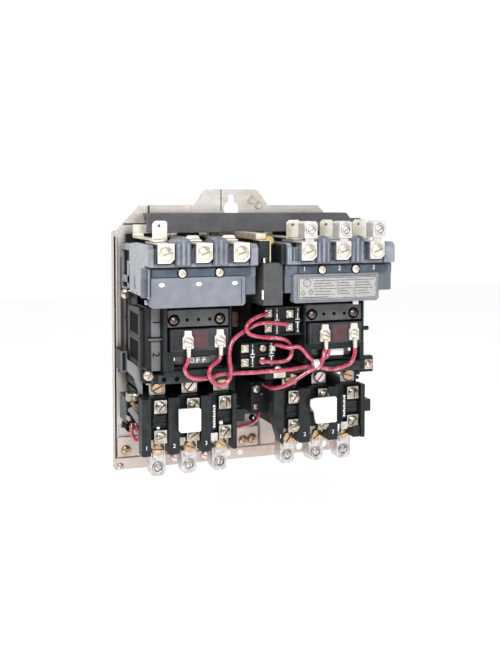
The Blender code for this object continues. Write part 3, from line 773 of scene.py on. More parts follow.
def mounting_panel():
    side, face, back = PANEL.x1 - SHEET / 2, PANEL_FRONT + SHEET / 2, -SHEET / 2
    a, b = CHANNEL_WALLS
    lower = Shape().folded("z", [(-side, 0), (-side, face), (a, face), (a, back), (b, back),
                                 (b, face), (side, face), (side, 0)],
                           SHEET, PANEL.z0, CHANNEL_TOP, 2.4)
    upper = Shape().folded("z", [(-side, 0), (-side, face), (side, face), (side, 0)],
                           SHEET, CHANNEL_TOP - 1, -PANEL.z0, 2.4)
    ear = Shape().prism("y", [(-38.5, 118), (38.5, 118), (29.5, 131), (26.8, 134.6), (23.5, 136),
                              (-23.5, 136), (-26.8, 134.6), (-29.5, 131)],
                        PANEL_FRONT, PANEL_FRONT + SHEET, 0)
    sheet = carved(carved(lower, upper, "UNION"), ear, "UNION")
    holes = Shape()
    for s in (-1, 1):
        holes.prism("y", [(s * 118, 97.5), (s * 110.5, 97.5), (s * 89.5, 119.6), (s * 86.5, 125),
                          (s * 118, 125)], -20, 5, 0)
    holes.rod("y", (0, 117.5), 7.5, -20, 5, 0, 36)
    holes.block((-3.2, 3.2), (-20, 5), (118, 131), 0)
    for x in (-96, 70, 96):
        holes.rod("y", (x, -115), 3.5, -20, -5, 0, 24)
    piece("panel_sheet", carved(sheet, holes), "zinc", "mounting_panel", edge=0.25)

    front = PANEL_FRONT
    trim = Shape()
    for x0, x1, height, z0, z1, r in (
            (-111.2, 44, 1.2, -120.8, -110, 0.5), (-110, -89, 1.6, -108.5, -90.5, 0.5),
            (5, 26, 1.4, -109, -90.5, 0.5), (-79, -40, 0.9, 113.8, 120.6, 0.4),
            (-110.5, -100.5, 1.0, -79, -30, 0.4)):
        trim.block((x0, x1), (front - height, front + 0.1), (z0, z1), r)
    trim.rod("z", (-109.4, front), 0.9, -88, 92, 0.4, 12)
    trim.block((8, 10), (-16.5, front + 0.1), (-72, -40), 0.3)
    for place in ((19.5, 125.9), (26.6, 121.1)):
        trim.lathe("y", place, [(1.6, front + 0.1), (2.6, front - 0.45), (3.4, front - 0.45),
                                (4.2, front + 0.1)])
    piece("panel_trim", trim, "zinc")
    # Dark strips drawn on the sheet are painted shadow lines: in the ear's groove, under the upper
    # strip's step, at the raised strip's end, and beside the left contactor base, where the gap's
    # shadow meets the base's black edge.
    marks = Shape()
    for x0, x1, height, z0, z1, r in (
            (-10.75, -9.85, 0.15, 115.5, 135.8, 0.1), (-103.2, -79.5, 0.25, 103.4, 104.8, 0.1),
            (-80.3, -78.9, 1.0, 113, 120.8, 0.2), (-106.2, -103.4, 0.9, -82, 74, 0.3)):
        marks.block((x0, x1), (front - height, front + 0.05), (z0, z1), r)
    piece("panel_seam_shadows", marks, "ink")
    # A near-black strip down the left bend of the panel: painted shade where the sheet turns back.
    fitting("panel_rim_line", "void",
            (-111.95, -110.8, front - 0.12, front + 0.05, -110, 93, 0.05), slot="zinc_steel")
    fitting("panel_screws", "bronze", slot="zinc_steel",
            *(("pan_cross", x, front - 1.5, z, 4.4, 2.6, 20)
              for x, z in ((-102.3, -102.8), (11.1, -103.3), (20.2, -102.2))))
    fitting("panel_rivets", "rose", ("pan_slot", -56.1, front - 1.1, -113.6, 4.2, 1.8, 15),
            ("pan_slot", -26.9, front - 1.1, -114.4, 4.2, 1.8, 15),
            ("pan_cross", -107.6, front - 1.1, -117.4, 3.0, 1.8, 15), slot="zinc_steel")
    # White discs in the two bores near the bottom: painted light, the bright backdrop seen through
    # them.
    fitting("panel_bore_backdrop_light", "white", slot="zinc_steel",
            *(("y", place, 2.9, front - 1.35, front - 1.1, 0.1)
              for place in ((-4.1, -114.6), (8, -114.7))))


# ======================================================================== bar and bus straps
def insulating_bar():
    bar, back = Box("insulating_bar"), -42.5
    shape = Shape()
    shape.prism("y", [(-87, 98.5), (-85.5, 97), (118.5, 97), (120, 98.5), (120, 107), (118, 109),
                      (107.5, 109), (106, 111), (104.3, 113.4), (102, 114), (-85.5, 114),
                      (-87, 112.5)], bar.y0, back, 0.5)
    shape.blocks(0, (-86, 104, back - 1.2, -16, 111.8, bar.z1, 0.6),
                 (-74, -70, -43, SEAT, 107, 112.5, 0.5), (72, 76, -43, SEAT, 107, 112.5, 0.5),
                 (bar.x0, bar.x0 + 2, -43, -34, 97.5, 113.2, 0.5))
    piece("insulating_bar_sheet", shape, "fibre", "insulating_bar")


def bus_straps():
    for pole in POLES:
        left, right = POLE_X["left", pole], POLE_X["right", pole]
        run = -28.0 + 4.0 * (pole - 1)
        shape = Shape().block((left - 5, right + 5), (run, run + 1.5), (96, 104), 0.4)
        for x, shift, tall in ((left, 3.8 if pole == 1 else 0.0, pole == 1), (right, 0.0, True)):
            shape.blocks(x, (-5, 5, TAB_Y, run + 1.5, 92, 93.5, 0.4),
                         (-5, 5, run, run + 1.5, 92.2, 97, 0.4),
                         (-5, 5, TAB_Y - 11, TAB_Y + 1.4, 91.3, 92.8, 0.4))
            w, low, top, x = 6.4, 91.3, 108.5 if tall else 96.0, x + shift
            tab = Shape().prism("y", [(x - w, low), (x + w, low), (x + w, top - 1.6),
                                      (x + w - 1.6, top), (x - w + 2.6, top), (x - w, top - 2.6)],
                                TAB_Y, TAB_Y + 1.5, 0.4)
            if tall:
                hole = Shape().rod("y", (x - 0.6, top - 4.2), 1.35, TAB_Y - 2, TAB_Y + 3, 0, 20)
                tab = carved(tab, hole)
            shape.add(tab)
        piece(f"bus_strap_bent_{pole}", shape, "tin", f"bus_strap_{pole}")


# ======================================================================== contactors
PAD_Y = Box("line_terminal_left_1").y0 + 3.5
LINE_LUG_Y = Box("line_terminal_right_1").y0 + 1.6
BLOCK = {side: Box(f"arc_block_{side}") for side in SIDES}


def line_terminal(side, pole):
    node, at, w = f"line_terminal_{side}_{pole}", POLE_X[side, pole], 6.9
    contact = Box(node).z0
    shape = Shape().prism("y", [(at - w, 75), (at + w - 3.4, 75), (at + w, 78.4), (at + w, 91),
                                (at - w, 91)], PAD_Y, PAD_Y + 1.8, 0.45)
    shape.blocks(at, (-5.6, 5.6, PAD_Y + 1, -79.3, 89.2, 91, 0.5),
                 (-4, 4, -110, -108.4, contact, 90, 0.4),
                 (-4, 4, -110, -88, contact, contact + 1.6, 0.4))
    shape.stamp("cone_slot", (at, PAD_Y, 83), 5.8, 3.3, -25, slot=1)
    if side == "right":
        front = LINE_LUG_Y
        lug = Shape().prism("y", [(at - 6, 93.7), (at + 6, 93.7), (at + 6, 106.4), (at + 4.4, 108),
                                  (at - 4.4, 108), (at - 6, 106.4)], front, front + 14.5, 0.7)
        way = Shape().block((at - 4.6, at + 4.6), (PAD_Y + 1.6, front + 13), (93, 112), 0)
        shape.add(carved(lug, way))
        shape.blocks(at, (-4, 4, PAD_Y, PAD_Y + 1.6, 90, 106, 0.4))
        shape.stamp("clamp", (at, front, 100.8), 4.8, 1.6, -35)
    piece(f"line_terminal_pad_{side}_{pole}", shape,
          "tin cream" if side == "left" else "bright cream", node)
    # A near-black plate behind each pad, showing past its right and lower edges: painted shadow in
    # the gap between pad and block.
    shadow_gap_plate = Shape().prism("y", [(at - w + 0.3, 74), (at + w - 2.4, 74), (at + w + 0.9, 77.6),
                                  (at + w + 0.9, 90), (at - w + 0.3, 90)],
                            PAD_Y + 1.9, PAD_Y + 2.6, 0.2)
    piece(f"terminal_shadow_gap_{side}_{pole}", shadow_gap_plate, "void")


def barrier(middle, half=6.9, front=-122.0):
    """One rounded wall between two poles, with three half-round ribs down its front. The wall
    takes the darker copy of the block moulding, painted shade under the bar; the ribs keep the
    lighter one, so they read as painted highlights.
    """
    top, shoulder = 95.6, 95.6 - half
    outline = [(middle - half, 72), (middle + half, 72)]
    for k in range(13):
        turn = math.pi * k / 12
        outline.append((middle + half * math.cos(turn),
                        shoulder + (top - shoulder) * math.sin(turn)))
    shape = Shape().prism("y", outline, front, -95.5, 1.1, 3, slot=1)
    shape.block((middle - half, middle + half), (-97, -46), (72, 90), 1.1, 3, slot=1)
    for x, r, z in ((-4.2, 1.1, 90.5), (0, 1.5, 93.4), (4.2, 1.1, 90.5)):
        shape.rod("z", (middle + x, front + 0.5), r, 73, z, 0.6, 14)
    return shape


def arc_block(side):
    low, high = BLOCK[side].x0, BLOCK[side].x1
    poles = [POLE_X[side, n] for n in POLES]
    shape = Shape().blocks(
        0, (low, high, -106.5, -38, 70.2, 73, 0.6), (low, low + 3, -106.5, -38, 46, 71, 0.6),
        (high - 3, high, -106.5, -38, 46, 71, 0.6), (low, high, -41, -38, 46, 71, 0.6),
        (low + 0.2, high - 0.2, -118, -112, 71.3, 86, 0.8))
    for middle in ((poles[0] + poles[1]) / 2, (poles[1] + poles[2]) / 2):
        shape.add(barrier(middle))
        shape.blocks(middle, (-1, 1, -106.5, -87, 56, 71, 0.4), (-1, 1, -68, -50, 61.5, 71, 0.4))
    side_wall = [(-122, 71.6), (-122, 86), (-118.5, 89.6), (-68, 89.8), (-50, 88.5), (-46, 85),
                 (-46, 71.6)]
    shape.prism("x", side_wall, low, low + 4.5, 0.9)
    shape.prism("x", side_wall, CENTRE[side] + 41.5, high, 0.9)
    for at in poles:
        shape.blocks(at, (-6, 6, -125.8, -117, 73.5, 88.3, 0.6))
    for x0, x1 in ((low + 5.4, poles[0] - 8.2), (poles[2] + 8.2, high - 5.4)):
        if x1 - x0 > 1.5:
            shape.rod("z", ((x0 + x1) / 2, -118.2), 1.3, 72.5, 86, 0.5, 14)
    shape.block((low + 0.4, high - 0.4), (-119.6, -112.5), (71.3, 74.6), 0.9)
    if side == "left":
        skirt = Shape().prism("x", [(-49, 46.5), (-49, 87.6), (-40, 88.4), (-14, 86), (-14, 46.5)],
                              low, low + 2.2, 0.5)
        for z in ((59.5, 82), (49, 53.4)):
            skirt = carved(skirt, Shape().block((low - 2, low + 4), (-46.5, -16.5), z, 0))
        shape.add(skirt)
        shape.prism("x", [(-70, 50), (-66, 56), (-66, 60), (-70, 62)], low - 0.6, low + 1, 0.3)
        shape.block((low - 0.5, low + 1), (-121, -112.5), (46.5, 70), 0.5)
    piece(f"arc_block_shell_{side}", shape, "block navy", f"arc_block_{side}")


def arc_cover(side):
    x = CENTRE[side]
    low, high = Box(f"arc_cover_{side}").x0, BLOCK[side].x1 - 0.5
    # the shoulders at the cover's sides take the darker shoulder moulding: painted shade on the
    # set-back sides
    shape = Shape().block((low, high), (-116, -110.4), (47, 62.7), 0.9, slot=2)
    shape.block((low + 0.3, high), (-117, -110.4), (61.4, 71), 1.2, 3, slot=2)
    left, right, bottom, top = x - 42, x + 38.2, 38.5, 63
    shape.prism("y", [(left + 1.6, bottom), (right - 2, bottom), (right, bottom + 2),
                      (right, top - 1), (right - 1, top), (left + 1, top), (left, top - 1),
                      (left, bottom + 1.6)], -119.5, -110.6, 1.1, 3)
    shift = 0
    if side == "left":
        shape.blocks(right, (-3.9, -3.3, -119.62, -119.2, 40, 61.6, 0.1), slot=1)
        shift = 3.5
    band = [(-36.5, 63.2), (44, 63.2), (46, 64), (47, 66.6), (46, 69.2), (44, 70), (-36.5, 70),
            (-37.5, 69), (-37.5, 64.2)]
    shape.prism("y", [(x + a - shift, z) for a, z in band], -119.0, -116, 0.9, 3, slot=1)
    piece(f"arc_cover_shell_{side}", shape, "cover band shoulder", f"arc_cover_{side}")
    rings, screws = Shape(), Shape()
    kind, turn = ("pan_cross", 20) if side == "left" else ("pan_slot", 40)
    for s in (-1, 1):
        rings.lathe("y", (x + s * 15.75, 66.4), [(3.0, -118.7), (3.3, -119.5), (4.2, -119.5),
                                                 (4.5, -118.7)], 32)
        screws.stamp(kind, (x + s * 15.75, -119.2, 66.4), 3.4, 1.2, turn)
    # near-black rings round the band screws: painted shade in the recesses they sit in
    piece(f"band_screw_well_shade_{side}", rings, "void", slot="cover_moulding")
    piece(f"band_screws_{side}", screws, "cream")
    if side == "left":
        windows = Shape()
        for at in (-94.4, -63.5, -32.7):
            one = Shape().lathe("y", (0, 0), [(0, -120.1), (2.0, -120.05), (2.45, -119.8),
                                              (2.6, -119.3)])
            windows.add(one.move(Matrix.Translation((at, 0, 57.4))
                                 @ Matrix.Diagonal((1, 1, 0.68, 1))))
        piece("cover_windows", windows, "white")
    else:
        for n, at in zip(POLES, (29.5, 62.0, 94.5)):
            piece(f"line_number_{n}", Shape().numeral(str(n), (at, -119.05, 67.3), 5.4), "white")


def nameplate():
    """A plate with a printed frame, ruled lines in three columns, and three rings."""
    box = Box("nameplate")
    wide, tall = box.x1 - box.x0, box.z1 - box.z0
    plate = Shape().block((box.x0, box.x1), (box.y0, box.y1 - 0.02), (box.z0, box.z1), 0.3)

    def rule(a, b, c, d, height=0.1, r=0.04):
        plate.block((box.x0 + a, box.x0 + b), (box.y0 - height, box.y0 + 0.1),
                    (box.z0 + c, box.z0 + d), r, slot=1)
    for z in (0.9, tall - 0.9):
        rule(1, wide - 1, z - 0.2, z + 0.2, 0.12, 0.05)
    for a in (0.9, wide - 0.9):
        rule(a - 0.2, a + 0.2, 1, tall - 1, 0.12, 0.05)
    for row in range(6):
        z = tall - 3.1 - row * 2.35
        for a, b in ((14.5, 36), (37.5, 52), (53.5, 71)):
            rule(a, b - (row * 5 % 7), z - 0.22, z + 0.22)
    for a in (36.7, 52.8):
        rule(a - 0.15, a + 0.15, 3.2, tall - 1.6)
    rule(2.5, 27, 1.9, 2.5)
    for a, z, r in ((8, tall - 4.8, 3.4), (4.6, 6, 1.7), (11.2, 6.6, 1.9)):
        plate.lathe("y", (box.x0 + a, box.z0 + z),
                    [(r - 0.35, box.y0 + 0.1), (r - 0.35, box.y0 - 0.12), (r, box.y0 - 0.12),
                     (r, box.y0 + 0.1)], slot=1)
    piece("rating_plate", plate, "label ink", "nameplate")


EAR_X, EAR_Z = 104.0, -22.4        # the screw on the right contactor's side ear


def contactor_base(side):
    """The black moulding that holds the magnet, coil and contacts."""
    x, left = CENTRE[side], side == "left"
    wall = -28.0 if left else -26.5
    shape = Shape().blocks(
        x, (-40, 40, -42, SEAT, -38, 45.7, 0.8), (-40, 40, -37.7, SEAT, 45, 88, 0.8),
        (-40, 40, -17, SEAT, 87, 95.4, 0.5), (-40, -37, -62, -41, -38, 45.7, 0.7),
        (37, 40, -62, -41, -38, 45.7, 0.7), (-40, -24.5, -62, -58, -29.5, 45.7, 0.7),
        (28.3, 40, -62, -58, -29.5, 45.7, 0.7), (wall, -24.5, -104, -58, -19, 37, 0.6),
        (28.3, 30, -104, -58, -19, 37, 0.6), (wall, 30, -104, -58, -19, -16.2, 0.6),
        (wall, -25.3, -107, -103.5, 0, 37.3, 0.5), (28.3, 30, -107, -103.5, 0, 37.3, 0.5),
        (-39, 38, -74, -48, -29.5, -18.8, 0.8))
    outer = (-40.8, -39.6) if left else (39.6, 40.8)
    shape.blocks(x, *((*outer, -40, PANEL_FRONT - 1, z, z + 2.2, 0.4) for z in (-34, -8, 18, 40)),
                 *((*outer, y, y + 2.0, -34, 42, 0.4) for y in (-34, -20)))
    if not left:
        shape.blocks(x, (39.6, 41.2, -60, -44, -14, 34, 0.6),
                     *((40.8, 42.0, -57, -47, z - 1.2, z + 1.2, 0.4) for z in (-8, 4, 16, 28)))
    plate = Shape().blocks(x, (wall, 30, -107, -103.5, -19, 0.7, 0))
    shape.add(carved(plate, Shape().blocks(x, (-20, 26, -110, -100, -15, -3.5, 0))))
    shape.blocks(x, (wall + 0.6, 29.4, -108, -106, -19, -15.4, 0.5),
                 (-24.9, -22.7, -107.8, -106, -14, -1, 0.5),
                 (26.1, 28.3, -107.8, -106, -14, -1, 0.5))
    if left:
        shape.blocks(x, (-40, -27, -95, -60, -17, 37, 0.8),
                     (-38.6, -26.8, -99.5, -94, 9.6, 11.9, 0.5))
        box = Shape().prism("x", [(-88, -14), (-88, 33), (-84, 36), (-44, 34.5), (-40, 32),
                                  (-40, -12), (-44, -14)], x - 44, x - 38, 0.9)
        for z in ((12, 30), (-10.5, 7)):
            box = carved(box, Shape().block((x - 46, x - 43.1), (-82, -49), z, 0.6))
        shape.add(box)
        # near-black sheets at the bottoms of the side box's two windows: painted shade in the
        # recesses
        fitting("side_box_recess_shade", "void", (-43.25, -42.9, -81.4, -49.6, 12.6, 29.4, 0.1),
                (-43.25, -42.9, -81.4, -49.6, -9.9, 6.4, 0.1), at=x)
        shape.blocks(x, (-44.6, -43, -86, -43, 8.6, 10.2, 0.4),
                     *((-40.6, -38.5, y - 0.7, y + 0.7, -14, 35, 0.4) for y in (-90.5, -93)))
    else:
        shape.blocks(EAR_X, (-10.6, 5.2, -91, -84, EAR_Z - 7.2, EAR_Z + 7.4, 0.8),
                     (-11, -4, -88, -58, EAR_Z - 7.2, EAR_Z + 6, 0.7))
    shape.blocks(x, (-36, 34, -100, -72, -26.4 if left else -25, -18.8, 0.8))
    piece(f"base_moulding_{side}", shape, "black", f"contactor_base_{side}")
    if left:
        fitting("terminal_strip_left", "pale", (-36.4, -28.6, -97.2, -94.4, -16, 9.4, 0.5),
                (-36.4, -28.6, -97.2, -94.4, 12.1, 36, 0.5),
                (-38.8, -26.6, -99.6, -96.6, 9.9, 11.4, 0.4), at=x)
        marks = Shape().numeral("1", (x - 32.6, -97.3, 24.6), 8.6, 90)
        marks.add(Shape().numeral("2", (x - 32.8, -97.3, -2.2), 8.6, 90))
        piece("strip_numbers", marks, "void")
        fitting("lower_strip_left", "satin", (-32.4, 6.6, -104, -99, -26.2, -18.6, 0.6), at=x)
        # near-black discs on the strip's face: painted shade standing for two holes
        fitting("lower_strip_hole_shade", "void", *(("y", (x + a, -22.4), 2.0, -104.3, -103.8, 0.1, 20)
                                               for a in (-27.6, -16.5)))
        fitting("lower_strip_screw", "rose", ("pan_combo", x - 39.6, -100.2, -18.9, 4.2, 2.4, 25),
                ("y", (x - 39.6, -18.9), 2.2, -100.3, -94, 0.3, 16))
    else:
        fitting("lower_strip_right", "satin", (-26, 29, -103, -98, -25, -18.6, 0.6), at=x)
        fitting("side_bracket_right", "black",
                *((38, 45.6 - k, -70.5, -60, -32 - 4 * k, -29.2 - 4 * k, 0.5) for k in range(3)),
                (36.5, 40, -72, -60, -42.4, -20, 0.6), at=x)
        fitting("side_ear_screw", "rose", ("pan_slot", 0, -92.0, EAR_Z, 3.4, 2.2, 60),
                (-3.8, 3.8, -92, -90.7, EAR_Z - 4.6, EAR_Z + 4.4, 0.6), at=EAR_X)
        fitting("side_pin", "black", ("x", (-98.5, 11.6), 2.0, x + 29.5, x + 38.4, 0.6, 18))
        fitting("cover_tab_right", "white", (18.6, 24.2, -108.2, -107, 34.3, 38.2, 0.4), at=x)


def retainer(side):
    x, z = CENTRE[side], 26.7
    front = Box(f"magnet_retainer_{side}").y0 + 2.7
    small, large = (x - 8.2, x + 1.6, x + 11.4), (x - 19.5, x + 20.1)
    tools, well_shade, heads = Shape(), Shape(), Shape()
    for at in small:
        tools.rod("y", (at, z), 1.45, front - 1, front + 1.3, 0, 20)
        well_shade.rod("y", (at, z), 1.4, front + 1.0, front + 1.32, 0.05, 20)
    for at in large:
        tools.rod("y", (at, z), 5.0, front - 1, front + 1.6, 0, 28)
        well_shade.rod("y", (at, z), 4.95, front + 1.3, front + 1.62, 0.05, 28)
        heads.stamp("pan_cross", (at, front + 1.0, z), 3.7, 2.2, 25)
    plate = carved(Shape().blocks(x, (-25, 27.5, front, -104.3, 21, 35, 0)), tools)
    piece(f"retainer_plate_{side}", plate, "grey", f"magnet_retainer_{side}", edge=0.35)
    # near-black discs at the bottoms of the screw holes: painted shade in the recesses
    piece(f"retainer_well_shade_{side}", well_shade, "void")
    piece(f"retainer_screws_{side}", heads, "dark")


def coil(side):
    x = CENTRE[side]
    ways = Shape().blocks(x, *((a, a + 11.6, -92.8, -69.2, -5, 25, 0) for a in (-20.8, 13.2)))
    body = carved(Shape().blocks(x, (-23, 27.5, -107.2, -62, 1, 19, 0)), ways)
    body.blocks(x, (-13, 27.2, -108, -106, 1.4, 18.6, 0.6),
                (-22.6, -21.2, -108.6, -106, 1.2, 18.8, 0.5),
                *((a, a + 1, -108, -106, 1.8, 18.2, 0.4) for a in (-19.4, -17.2, -15.0)),
                (-23, 27.5, -107.9, -106, 0.9, 2.2, 0.4),
                (-23, 27.5, -107.9, -106, 17.8, 19.1, 0.4))
    piece(f"coil_case_{side}", body, "resin", f"coil_{side}")
    low, high, z0, z1 = {"left": (-3.8, 9.2, 3.0, 18.2), "right": (-0.6, 13.2, 2.0, 17.6)}[side]
    lines = []
    for k in range(5):
        z = z1 - 2.6 - 2.5 * k
        lines.append((low + 1.6, high - 1.4 - (k % 2) * 2, -108.42, -108.2,
                      z - 0.42, z + 0.42, 0.1))
    fitting(f"coil_label_{side}", "red_label", (low, high, -108.3, -107.8, z0, z1, 0.2), at=x)
    fitting(f"coil_label_lines_{side}", "red_ink", *lines, at=x)
    for k, at in enumerate((x - 8.5, x + 19.1)):
        shape = Shape().prism("y", [(at - 4.7, 3.2), (at + 4.7, 3.2), (at + 4.7, 12.4),
                                    (at + 3.4, 14), (at + 3.0, 18.3), (at - 3.0, 18.3),
                                    (at - 3.4, 14), (at - 4.7, 12.4)], -110.6, -107.6, 0.6)
        shape.stamp("pan_slot", (at, -110.6, 8.6), 4.1, 2.2, 25, slot=1)
        shape.blocks(at, (-1.7, 1.7, -113, -110.3, 0.6, 5, 0.6))
        shape.rod("z", (at, -112.0), 1.75, -3.4, 3.2, 0.5, 18)
        piece(f"coil_terminal_{side}_{k + 1}", shape, "tin cream")


# Bars of the state flag's upright capitals: left, right, bottom and top from the middle.
LETTER_BARS = {
    "O": ((-1.7, -0.8, -2.2, 2.2), (-0.9, 1.5, 1.35, 2.2), (0.9, 1.8, -2.2, 2.2),
          (-0.9, 1.5, -2.2, -1.35)),
    "F": ((-1.7, -0.8, -2.2, 2.2), (-0.9, 1.5, 1.35, 2.2), (-0.9, 1.1, -0.3, 0.5)),
}


def magnet_and_carrier(side):
    x, left, body = CENTRE[side], side == "left", f"carrier_{side}"
    core, moving = [(-20, 24, -92, -70, 24, 34, 0.4)], [(-20, 24, -92, -70, -13, -4.5, 0.4)]
    for a in (-20, 14):
        core.append((a, a + 10, -92, -70, 11.3, 24.5, 0.4))
        moving.append((a, a + 10, -92, -70, -5, 6, 0.4))
    fitting(f"magnet_core_stack_{side}", "steel", *core, at=x, replaces=f"magnet_core_{side}")
    fitting(f"armature_stack_{side}", "steel", *moving, at=x, body=body,
            replaces=f"armature_{side}")
    shape = Shape().blocks(
        x, (-40, 40.5, -84, -72, 50, 55, 0.7), (-20, 24, -84, -52, 50, 55, 0.7),
        (-20, 24, -57, -52, -15.8, 54, 0.7), (-20, 24, -103, -52, -15.8, -13.3, 0.6),
        (-6, 12.4, -103, -100.5, -15.8, -4.3, 0.5))
    shape.block((x + 40, -9) if left else (10, x - 39), (-80, -76), (51, 54.5), 0.6)
    top = Box(f"moving_contact_{side}_1").z1
    for pole in POLES:
        shape.blocks(POLE_X[side, pole], (-5, 5, -82, -74, 54, top - 2.8, 0.6))
    piece(f"crossbar_moulding_{side}", shape, "black", f"crossbar_{side}", body=body)
    flag = Shape().blocks(x, (-5.6, 12.0, -103.3, -102.9, -10.4, -4.7, 0.15))
    if left:
        for k, which in enumerate("OFF"):
            at = x - 3.4 + 5.4 * k
            for a, b, c, d in LETTER_BARS[which]:
                flag.blocks(at, (a, b, -103.42, -103.26, -7.6 + c, -7.6 + d, 0.03), slot=1)
    piece(f"state_flag_{side}", flag, "pale white" if left else "white", slot="white_moulding",
          body=body)
    for pole in POLES:
        fitting(f"contact_bridge_{side}_{pole}", "copper",
                (-4, 4, -96, -60, top - 2.5, top - 0.8, 0.4),
                (-3.5, 3.5, -95.5, -89, top - 1, top, 0.3),
                (-3.5, 3.5, -67, -60.5, top - 1, top, 0.3),
                at=POLE_X[side, pole], body=body, replaces=f"moving_contact_{side}_{pole}")
    spot = (-21.8, -19.0) if left else (14.9, 17.4)
    fitting(f"window_spot_{side}", "white", (*spot, -106.9, -105.8, -6.6, -3.9, 0.6), at=x)


# ======================================================================== between the contactors
def interlock():
    hollow = Shape().block((-4, 9), (-112, -88), (30, 70), 0)
    shape = carved(Shape().block((-6, 11), (-115, -84), (37, 72.7), 0), hollow)
    shape.blocks(0, (-4, 9, -86, -14, 37, 42, 0.5), (-20.5, 20.5, -16, SEAT, -78, 84, 0.6))
    shape.rod("y", (0.5, 66), 2.0, -85, -73, 0.4)
    piece("interlock_case", shape, "grey", "interlock_housing")
    face = Shape().block((-6.2, 11.2), (-115.6, -114.5), (37.2, 72.9), 0.5, 3)
    piece("interlock_face", face, "grey")
    fitting("interlock_head", "black", (-8.7, 0.3, -112, -99, 72.9, 91.8, 0.5))
    fitting("side_liner", "black", (8.5, 12.7, -118.5, -50, 71.5, 88.6, 0.7))
    # the rail and bracket take the paler brass copy: painted reflection
    fitting("interlock_rail", "rod", (-8.9, 0.9, -104, -47, 91.9, 97.6, 0.8))
    fitting("interlock_bracket", "rod", (0.4, 1.5, -113, -98, 72.9, 92, 0.3),
            (-9.0, 1.5, -113, -98, 91.5, 92, 0.15))
    fitting("interlock_tabs", "white", (-6.3, -4.7, -116.2, -115, 73.2, 77.2, 0.3),
            (-7.4, -6.1, -116.2, -114, 42.2, 50.2, 0.3))
    post = Shape().rod("y", (6, 90.6), 4.2, -98.5, -16.3, 0.7, 36)
    post.lathe("y", (6, 90.6), [(4.3, -96), (4.5, -95.6), (4.5, -94.4), (4.3, -94)], 36)
    piece("interlock_post_turned", post, "brass", "interlock_post")
    fitting("interlock_rocker_plate", "brass", (-10.5, 11.5, -81, -76.2, 60.3, 64, 0.5),
            ("y", (0.5, 66), 5.0, -81, -76, 0.5), replaces="interlock_rocker",
            body="interlock_rocker_body")


def auxiliary_blocks():
    fitting("auxiliary_upper_moulding", "black", (1, 34.8, -98, -62.4, 9, 34, 0.7),
            *((1, 34.8, -102, -97, z, z + 1.5, 0.4) for z in (9, 20.5, 32.5)),
            (8.5, 14.5, -101.5, -97, 9.5, 33.5, 0.4), (28, 33, -101.5, -97, 9.5, 33.5, 0.4),
            replaces="auxiliary_block_upper")
    fitting("auxiliary_lower_moulding", "black", (-20, 11, -96, -60, -18, 3.5, 0.7),
            (-8, 4, -62, -16.3, -12, 0, 0.6), (-13, -7.6, -100, -95, -18, 3.5, 0.5),
            (4.2, 9.6, -100, -95, -18, 3.5, 0.5),
            *((-20, 11, -98.4, -95, z, z + 1.4, 0.4) for z in (-18, -8, 2)),
            replaces="auxiliary_block_lower")
    clamps = Shape()
    for x, y, z, half in ((4.7, -99.0, 28.2, 3.3), (24.4, -99.0, 27.0, 3.3),
                          (24.0, -99.0, 15.6, 3.3), (4.6, -99.0, 15.2, 3.3),
                          (-16.6, -98.6, -1.2, 3.3), (-16.6, -98.6, -13.2, 3.3),
                          (7.8, -100.4, -1.6, 2.6)):
        clamps.block((x - half, x + half), (y - 0.4, y + 1.2), (z - half, z + half), 0.4)
        clamps.stamp("pan_slot", (x, y - 0.4, z), half * 0.86, 1.6, 30)
    piece("auxiliary_terminals", clamps, "cream")
    fitting("auxiliary_rose_screws", "rose", ("pan_cross", -0.2, -97.4, -1.4, 3.5, 2.0, 20),
            ("pan_cross", -0.2, -97.4, -12.4, 3.5, 2.0, 40))

    # a printed contact symbol is two short bars across a broken line, with a number at each end
    prints = Shape()
    for x, y, z0, z1, wide, numbers in ((11.4, -101.6, 10, 33, 4.2, "12"),
                                        (30.6, -101.6, 10, 33, 4.2, "34"),
                                        (-10.3, -100.1, -17.6, 3.2, 4.0, "12"),
                                        (6.9, -100.1, -17.6, 3.2, 4.0, "34")):
        middle = (z0 + z1) / 2
        for half, low, high in ((0.45, middle + 1.1, z1 - 4.6), (0.45, z0 + 4.6, middle - 1.1),
                                (wide / 2, middle - 1.45, middle - 0.75),
                                (wide / 2, middle + 0.75, middle + 1.45)):
            prints.block((x - half, x + half), (y - 0.1, y + 0.1), (low, high), 0.05)
        for number, z in zip(numbers, (z1 - 2.2, z0 + (2.4 if z0 > 0 else 2.2))):
            prints.add(Shape().numeral(number, (x, y, z), 4.4, depth=0.1))
    piece("contact_symbols", prints, "white")


# ======================================================================== overload relays
LINK_FRONT = Box("load_strap_left_1").y0 + 4.1
RIBS = {
    "left": ((-45.2, -37.2), (-22.2, -12.2), (6.3, 15.8), (34.8, 38.8)),
    "right": ((-48.8, -39.3), (-24.8, -13.8), (3.2, 13.2), (36.0, 40.2)),
}
TERMINAL_ROWS = ((-54.4, -43.0), (-80.2, -68.6))
LINK_TURN = {1: -25, 2: -50, 3: 15}


def load_strap(side, pole):
    node, link = f"load_strap_{side}_{pole}", heater_x(side, pole)
    contact = Box(node).z1 - 1.6
    shape = Shape().blocks(
        POLE_X[side, pole], (-4, 4, -68, -44.5, contact, contact + 1.6, 0.4),
        (-4, 4, -46.1, -44.5, -32, contact + 1.6, 0.4),
        (-4, 4, LINK_FRONT + 1.1, -44.5, -32, -30.4, 0.4))
    shape.prism("y", [(link - 7, -41), (link + 7, -41), (link + 7, -32), (link + 5, -30.4),
                      (link - 5, -30.4), (link - 7, -32)], LINK_FRONT, LINK_FRONT + 1.6, 0.5)
    shape.stamp("cheese_slot", (link, LINK_FRONT, -34), 5.4, 4.0, LINK_TURN[pole], slot=1)
    piece(f"link_strap_{side}_{pole}", shape, "lug rose" if pole == 2 else "lug bronze", node)


